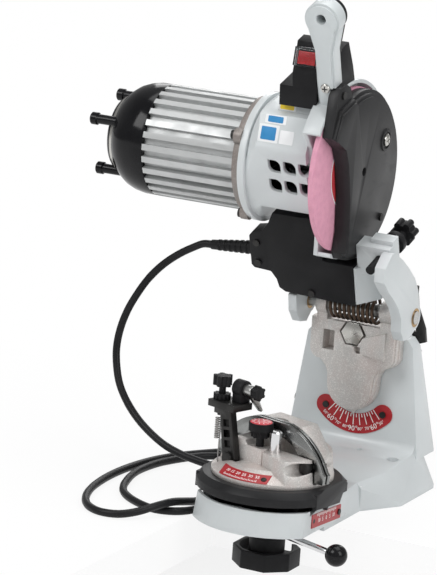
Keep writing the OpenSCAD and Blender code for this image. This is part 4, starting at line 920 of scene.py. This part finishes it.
@dataclass
class Scales:
    """The marks and figures on the swivel, tilt and turn plates and on the dial."""

    sunk: float = 0.05
    proud: float = 0.14
    swivel_limit: int = 40
    swivel_line: float = 0.75
    small_figure: float = 2.9
    large_figure: float = 5.0
    tilt_step: float = 1.45
    tilt_zero: float = 1.5
    tilt_top: float = 18.9
    tilt_figure: float = 3.6
    turn_first: float = 9.5
    turn_step: float = 7.7
    turn_figure: float = 3.1
    turn_rivet: Point = (16.6, 47.8)
    swivel_centre: Point = (0.0, 89.0)
    swivel_face: float = 164.1
    swivel_radii: Point = (28.9, 32.2, 39.2, 42.9)
    tilt_face: float = 52.8
    tilt_slope: float = -4 / 58
    turn_cone: Point = (45.0, 54.78, 9 / 15.98)
    dial_at: Point = (-1.5, -16.9, 89.0)

    def figure(self, name: str, text: str, height: float, body: str, place: Matrix) -> None:
        """Raised white figures of a height in millimetres, on a body, in the plate's own frame."""
        Piece.words(name, text, height, 2 * self.proud).fit(Finish.WHITE_INK, body, place)

    def swivel(self) -> None:
        """Marks every five degrees and figures every ten, round the swivel's own axis."""
        x, z = self.swivel_centre
        inner, short, long, figures = self.swivel_radii

        def spot(degrees: float, radius: float) -> tuple[float, float]:
            """A point at an angle from straight down."""
            a = math.radians(degrees)
            return (x + radius * math.sin(a), z - radius * math.cos(a))

        every = range(-self.swivel_limit, self.swivel_limit + 1, 5)
        lines = [(spot(d, inner), spot(d, short if d % 10 else long)) for d in every]
        marks = Piece.strokes("swivel_marks", lines, self.swivel_line, Plane.XZ, self.swivel_face + self.sunk,
                              self.swivel_face - self.proud)
        marks.fit(Finish.WHITE_INK, "base")
        for d in every[::2]:
            across, up = spot(d, figures)
            turn = Matrix.Rotation(-math.radians(d), 4, "Y") @ Matrix.Rotation(math.radians(90), 4, "X")
            self.figure(f"swivel_figure_{d + 40}", f"{90 - abs(d)}\u00b0",
                        self.small_figure if d % 30 else self.large_figure, "base",
                        Matrix.Translation(Vector((across, self.swivel_face, up)) * MM) @ turn)

    def tilt(self) -> None:
        """Marks and figures along the plate on the nose's right side."""
        def spot(i: int, down: float) -> tuple[float, float]:
            """A point of the plate at mark i, so far below its top edge."""
            y = self.tilt_step * i + self.tilt_zero
            return (y, self.tilt_top + self.tilt_slope * y - down)

        lines = [(spot(i, 0), spot(i, 2.2 if i % 5 else 3.4)) for i in range(-13, 14)]
        marks = Piece.strokes("tilt_marks", lines, 0.5, Plane.YZ, self.tilt_face - self.sunk,
                              self.tilt_face + self.proud)
        marks.fit(Finish.WHITE_INK, "base")
        facing = Matrix(((0, 0, 1, 0), (1, 0, 0, 0), (0, 1, 0, 0), (0, 0, 0, 1)))
        turn = facing @ Matrix.Rotation(math.atan(self.tilt_slope), 4, "Z")
        for i in (-10, -5, 0, 5, 10):
            self.figure(f"tilt_figure_{i + 10}", str(abs(i)), self.tilt_figure, "base",
                        Matrix.Translation(Vector((self.tilt_face, *spot(i, 6.6))) * MM) @ turn)

    def on_cone(self, degrees: float, radius: float) -> Matrix:
        """A place on the turntable's skirt, with Y up its slope and Z off it.

        Args:
            degrees: The angle from the front, towards the right.
            radius: The distance from the turntable's axis in millimetres.

        Returns:
            The matrix of that place.
        """
        low, outer, rise = self.turn_cone
        spot = Vector((0, -radius, low + rise * (outer - radius))) * MM
        return (Matrix.Rotation(math.radians(degrees), 4, "Z") @ Matrix.Translation(spot)
                @ Matrix.Rotation(math.atan(rise), 4, "X"))

    def turn(self) -> None:
        """Marks and figures along the plate on the turntable's skirt."""
        for k, text in enumerate(("35", "30", "25", "20", "15", "10")):
            self.figure(f"turn_figure_{text}", text, self.turn_figure, "turntable",
                        self.on_cone(self.turn_first - self.turn_step * k, 46.4))
        marks = []
        for i in range(26):
            length = 2.4 if i % 5 == 0 else 1.6
            mark = Piece.block("turn_marks", (-0.22, -length / 2, -self.sunk), (0.22, length / 2, self.proud))
            marks.append(mark.move(self.on_cone(self.turn_first - self.turn_step / 5 * i, 51.4 - length / 2)))
        marks[0].add(*marks[1:]).fit(Finish.WHITE_INK, "turntable")
        dome = [(-0.3, 0), (-0.3, 2.6), (0.3, 2.5), (0.9, 1.7), (1.1, 0)]
        rivet = Piece.lathe("turn_rivet", dome, Plane.XY, steps=24).smooth(50)
        rivet.fit(Finish.BLACK_STEEL, "turntable", self.on_cone(*self.turn_rivet))

    def dial(self) -> None:
        """The coloured disc on the dial, with its marks."""
        place = TABLE @ Matrix.Translation(Vector(self.dial_at) * MM)
        edge = [(-0.2, 0), (-0.2, 9.6), (0.5, 9.4), (0.7, 9.0), (0.7, 0)]
        disc = Piece.lathe("dial_disc", edge, Plane.XY, steps=64)
        disc.smooth(30).fit(Finish.PINK_PLATE, "dial", place)
        lines = [((5.6 * math.cos(a), 5.6 * math.sin(a)), (8.4 * math.cos(a), 8.4 * math.sin(a)))
                 for a in (math.radians(30 * i) for i in range(12))]
        Piece.strokes("dial_marks", lines, 0.6, Plane.XY, 0.6, 0.85).fit(Finish.WHITE_INK, "dial", place)
        for i, text in enumerate(("0", "1", "2", "3")):
            turn = Matrix.Rotation(math.radians(-90 * i), 4, "Z") @ Matrix.Translation((0, 3.6 * MM, 0.75 * MM))
            Piece.words(f"dial_figure_{text}", text, 2.6, 0.3).fit(Finish.WHITE_INK, "dial", place @ turn)

    def build(self) -> None:
        """Makes all of them."""
        self.swivel()
        self.tilt()
        self.turn()
        self.dial()


# ---------------------------------------------------------------- springs


@dataclass
class Springs:
    """The torsion spring round the hinge shaft and the pull spring of the chain stop."""

    torsion_start: float = -23
    torsion_pitch: float = 4.5
    torsion_turns: int = 10
    torsion_radius: float = 11.3
    torsion_wire: float = 1.5
    pull_at: Point = (-42, -27.5, 66)
    pull_pitch: float = 1.6
    pull_turns: int = 12
    pull_radius: float = 2.4
    pull_wire: float = 0.5
    pull_foot: Point = (20, 10, 1.2)
    pull_hook: Point = (1.4, 3.8)
    steps: int = 28

    def turns(self, count: int, pitch: float, radius: float) -> list[tuple[float, float, float]]:
        """A coil's points: how far along each is, and its two numbers across."""
        angles = [(i / self.steps, math.tau * i / self.steps) for i in range(count * self.steps + 1)]
        return [(pitch * t, radius * math.cos(a), radius * math.sin(a)) for t, a in angles]

    def torsion(self) -> None:
        """The heavy coil round the hinge shaft."""
        path = [Vector((self.torsion_start + along, HINGE[1] + a, HINGE[2] + b)) * MM
                for along, a, b in self.turns(self.torsion_turns, self.torsion_pitch, self.torsion_radius)]
        coil = Piece.tube("torsion_coil", path, self.torsion_wire * MM, 16).smooth(60)
        coil.fit(Finish.SPRING, BODY_OF["torsion_spring"], replaces=["torsion_spring"])

    def pull(self) -> None:
        """The fine coil beside the chain stop, with its two legs, stretched between the table and the arm."""
        x, y, z = self.pull_at
        side, top = x + self.pull_radius, z + self.pull_pitch * self.pull_turns
        path = [Vector((side, y, z - down)) for down in self.pull_foot]
        path += [Vector((x + a, y + b, z + along))
                 for along, a, b in self.turns(self.pull_turns, self.pull_pitch, self.pull_radius)]
        path += [Vector((side, y, top + up)) for up in self.pull_hook]
        coil = Piece.tube("pull_coil", [p * MM for p in path], self.pull_wire * MM, 12).smooth(60)
        coil.coat(Finish.GREY_STEEL, TABLE)
        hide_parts("arm_spring")
        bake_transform(coil.thing)

    def build(self) -> None:
        """Makes both."""
        self.torsion()
        self.pull()


# ---------------------------------------------------------------- motor


@dataclass
class Motor:
    """The motor's end cap with its four prongs, and the films on the housing."""

    prong_radius: float = 35
    steps: int = 96

    def cap(self) -> None:
        """The domed cap, hollow behind, with the pale ring in its groove and the prongs."""
        outside = [(-176.5, 50), (-188, 50), (-196, 48.6), (-203, 46), (-209, 42), (-214, 37.5), (-214, 31),
                   (-217.5, 31), (-217.5, 35.5), (-220.5, 33), (-222.5, 28), (-222.5, 0)]
        inside = [(-211, 0), (-211, 28), (-206, 38), (-190, 46.5), (-176.5, 46.5)]
        dome = Piece.lathe("cap_dome", outside + inside, Plane.YZ, steps=self.steps).bevel(0.7, 2, 30).smooth(35)
        dome.fit(Finish.GLOSS, "head", AXIS, ["motor_cap"])
        ring = Piece.lathe("cap_ring", [(-213.9, 31.1), (-213.9, 37.1), (-217.3, 35.3), (-217.3, 31.1)], Plane.YZ,
                           steps=self.steps).smooth(35)
        ring.fit(Finish.ZINC, "head", AXIS)
        prong = [(-212, 0), (-212, 4.4), (-230.4, 4.4), (-231.4, 5.6), (-236.8, 5.6), (-237.5, 4.9), (-237.5, 2.6),
                 (-229, 2.4), (-229, 0)]
        for i in range(4):
            a = math.radians(45 + 90 * i)
            centre = (-self.prong_radius * math.sin(a), self.prong_radius * math.cos(a))
            piece = Piece.lathe(f"cap_prong_{i}", prong, Plane.YZ, centre, 32).smooth(40)
            piece.fit(Finish.GLOSS, "head", AXIS)

    @staticmethod
    def film(name: str, x: Point, z: Point, face: Point, patch: Optional[Finish], share: float) -> None:
        """A blank film on the housing with a plain coloured patch.

        Args:
            name: The film's name.
            x: Where it starts and ends across, on the motor axis's frame.
            z: Where it starts and ends upwards.
            face: The housing's face as Y, Z and the slope of Y by Z.
            patch: The patch's finish, or None for no patch.
            share: How much of the film's height the patch takes.
        """
        y0, z0, slope = face
        tall = (z[1] - z[0]) * math.hypot(1, slope)
        place = (AXIS @ Matrix.Translation(Vector(((x[0] + x[1]) / 2, y0 + slope * (z[0] - z0), z[0])) * MM)
                 @ Matrix.Rotation(math.atan2(1, slope), 4, "X"))
        half = (x[1] - x[0]) / 2

        def sheet(title: str, low: Point, high: Point, start: float, end: float) -> Piece:
            """A thin sheet with rounded corners."""
            r = 0.9
            left, right, bottom, top = low[0] + r, high[0] - r, low[1] + r, high[1] - r
            corners = ((right, bottom), (right, top), (left, top), (left, bottom))
            outline = [p for i, at in enumerate(corners) for p in arc(at, r, 90 * i - 90, 90 * i, 4)]
            return Piece.slab(title, outline, Plane.XY, start, end)

        sheet(name, (-half, 0), (half, tall), 0.02, 0.2).fit(Finish.WHITE_FILM, "head", place)
        if patch is not None:
            low = tall * (1 - share) / 2
            cover = sheet(f"{name}_patch", (-half * share, low), (half * share, tall - low), 0.15, 0.26)
            cover.fit(patch, "head", place)

    def films(self) -> None:
        """The blank films on the neck and on the slope."""
        neck, slope = (-30, 50, 0.4), (-47, 39.2, 0.57)
        self.film("film_neck", (-50, -33), (62.3, 69.5), neck, Finish.YELLOW_FILM, 0.78)
        self.film("film_high", (-57, -37), (55, 61.6), slope, Finish.BLUE_FILM, 0.72)
        self.film("film_low", (-61.5, -42.5), (40.6, 54), slope, Finish.BLUE_FILM, 0.74)
        self.film("film_small", (-41, -28), (40.8, 51), slope, None, 0.5)

    def build(self) -> None:
        """Makes the cap and the films."""
        self.cap()
        self.films()


# ---------------------------------------------------------------- wheel


@dataclass
class WheelTrim:
    """The plain paper ring on the wheel and the trim of its guard."""

    face: float = 1.1
    paper: Point = (26.2, 36.0)
    guard_face: float = 15.9

    def build(self) -> None:
        """Makes the paper ring, and the guard's screw ring."""
        inner, outer = self.paper
        layers = (("wheel_paper", Finish.WHITE_FILM, -0.02, 0.16, inner, outer),
                  ("wheel_band", Finish.RED_PAPER, 0.1, 0.22, inner + 1.6, outer - 1.2))
        for name, finish, back, front, low, high in layers:
            back, front = self.face + back, self.face + front
            profile = [(back, low), (back, high), (front, high), (front, low)]
            Piece.lathe(name, profile, Plane.YZ, steps=96).smooth(30).fit(finish, "rotor", AXIS)
        g = self.guard_face
        profile = [(-0.4, 7.4), (-0.4, 10.4), (0.7, 10.2), (1.1, 9.6), (1.1, 8.0), (0.5, 7.4)]
        ring = Piece.lathe("guard_ring", [(g + along, r) for along, r in profile], Plane.YZ, (46.9, 8.1), 48)
        ring.smooth(35)
        ring.fit(Finish.GUARD, "head", AXIS)
        self.screw("guard_screw", (46.9, 8.1), g + 0.2, 5.4, 1, Plane.YZ)
        self.screw("handle_screw", (-2, 90.3), -27.0, 4.3, -1, Plane.XZ)

    @staticmethod
    def screw(name: str, centre: Point, face: float, radius: float, way: int, plane: Plane) -> None:
        """A domed plated screw with a cross in its head.

        Args:
            name: The screw's name.
            centre: Where its axis crosses the plane.
            face: The depth of the face that it sits on.
            radius: The head's radius.
            way: Which way the head faces along the plane's axis.
            plane: The plane of the face.
        """
        profile = [(-0.6, 0), (-0.6, radius), (1.0, radius), (1.75, radius * 0.86), (2.1, radius * 0.5), (2.2, 0)]
        head = Piece.lathe(name, [(face + way * along, r) for along, r in profile], plane, centre, 32)
        bars = []
        for a, b in ((0.62, 0.14), (0.14, 0.62)):
            low = Vector(plane.place(centre[0] - radius * a, centre[1] - radius * b, face + way * 1.5))
            high = Vector(plane.place(centre[0] + radius * a, centre[1] + radius * b, face + way * 4.0))
            corners = [[f(p, q) for p, q in zip(low, high)] for f in (min, max)]
            bars.append(Piece.block(f"{name}_bar", *corners))
        head.cut(*bars).smooth(30).fit(Finish.ZINC, "head", AXIS)


def main() -> None:
    """Builds the studio and the grinder's pieces in order."""
    logging.basicConfig(level=logging.INFO, format="%(message)s")
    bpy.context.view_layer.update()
    studio = Studio()
    studio.shoot()
    MainsCord().build()
    studio.light()
    studio.bench()
    for group in (Springs(), Motor(), WheelTrim(), Scales()):
        group.build()
        LOG.info("built %s", type(group).__name__)
    for node, finish, width in PLAIN:
        if width:
            rounded(node, finish, width)
        else:
            dress(node, finish)
        LOG.info("dressed %s", node)


PLAIN = [
    ("base_casting", Finish.ENAMEL, 2.0), ("swivel_scale", Finish.RED_PLATE, 0),
    ("tilt_scale", Finish.RED_PLATE, 0), ("scale_rivets", Finish.BLACK_STEEL, 0),
    ("swivel_bolt", Finish.ZINC, 0.4), ("swivel_plate", Finish.CAST, 0.9), ("hinge_shaft", Finish.STEEL, 0),
    ("swivel_lock_lever", Finish.BLACK_STEEL, 0.6), ("head_arm", Finish.ENAMEL, 1.2),
    ("arm_bushes", Finish.BRONZE, 0), ("motor_housing", Finish.ENAMEL, 1.0),
    ("motor_flange", Finish.FLANGE, 0.6), ("motor_shell", Finish.FINS, 0.3),
    ("motor_stator", Finish.WINDING, 0), ("motor_bearings", Finish.STEEL, 0),
    ("wheel_guard_inner", Finish.ENAMEL, 0.8), ("wheel_guard_cover", Finish.GUARD, 1.2),
    ("head_screws", Finish.BLACK_STEEL, 0), ("lift_handle", Finish.HANDLE, 1.4),
    ("handle_backing", Finish.BLACK, 0.8), ("switch_housing", Finish.BLACK, 1.2),
    ("wiring_box", Finish.BLACK, 0.8), ("strain_relief", Finish.BLACK, 0.4),
    ("switch_rocker", Finish.RED_PLASTIC, 0.6), ("switch_flap", Finish.CLEAR, 0),
    ("rotor_shaft", Finish.STEEL, 0), ("rotor_core", Finish.LAMINATION, 0), ("cooling_fan", Finish.BLACK, 0),
    ("wheel_flanges", Finish.ZINC, 0), ("grinding_wheel", Finish.GRIT, 0.5), ("wheel_nut", Finish.ZINC, 0.4),
    ("depth_stop_screw", Finish.BLACK, 0.6), ("depth_lock_knob", Finish.BLACK, 0.5),
    ("tilt_platform", Finish.PLATFORM, 1.0), ("clamp_bolt", Finish.ZINC, 0.4),
    ("octagon_knob", Finish.BLACK, 1.6), ("cam_lever", Finish.CHROME, 0.5), ("lever_ball", Finish.GLOSS, 0),
    ("turntable", Finish.CAST, 0.7), ("turn_scale", Finish.RED_PLATE, 0),
    ("rear_clamp_plate", Finish.CLAMP, 0.3), ("jaw_bolts", Finish.BLACK_STEEL, 0.4),
    ("guide_pin", Finish.CHROME, 0), ("adjuster_dial", Finish.BLACK, 0.5),
    ("front_clamp_plate", Finish.CLAMP, 0.3), ("stop_arm", Finish.BLACK_STEEL, 0.5),
    ("arm_pivot_bolt", Finish.BLACK_STEEL, 0.3), ("stop_screw", Finish.BLACK, 0.4),
    ("stop_nut", Finish.BLACK, 0.3), ("pawl_block", Finish.BLACK, 0.4), ("pawl_shaft", Finish.BLACK, 0.4),
    ("chain_pawl", Finish.STEEL, 0.3),
]

if __name__ == "__main__":
    main()
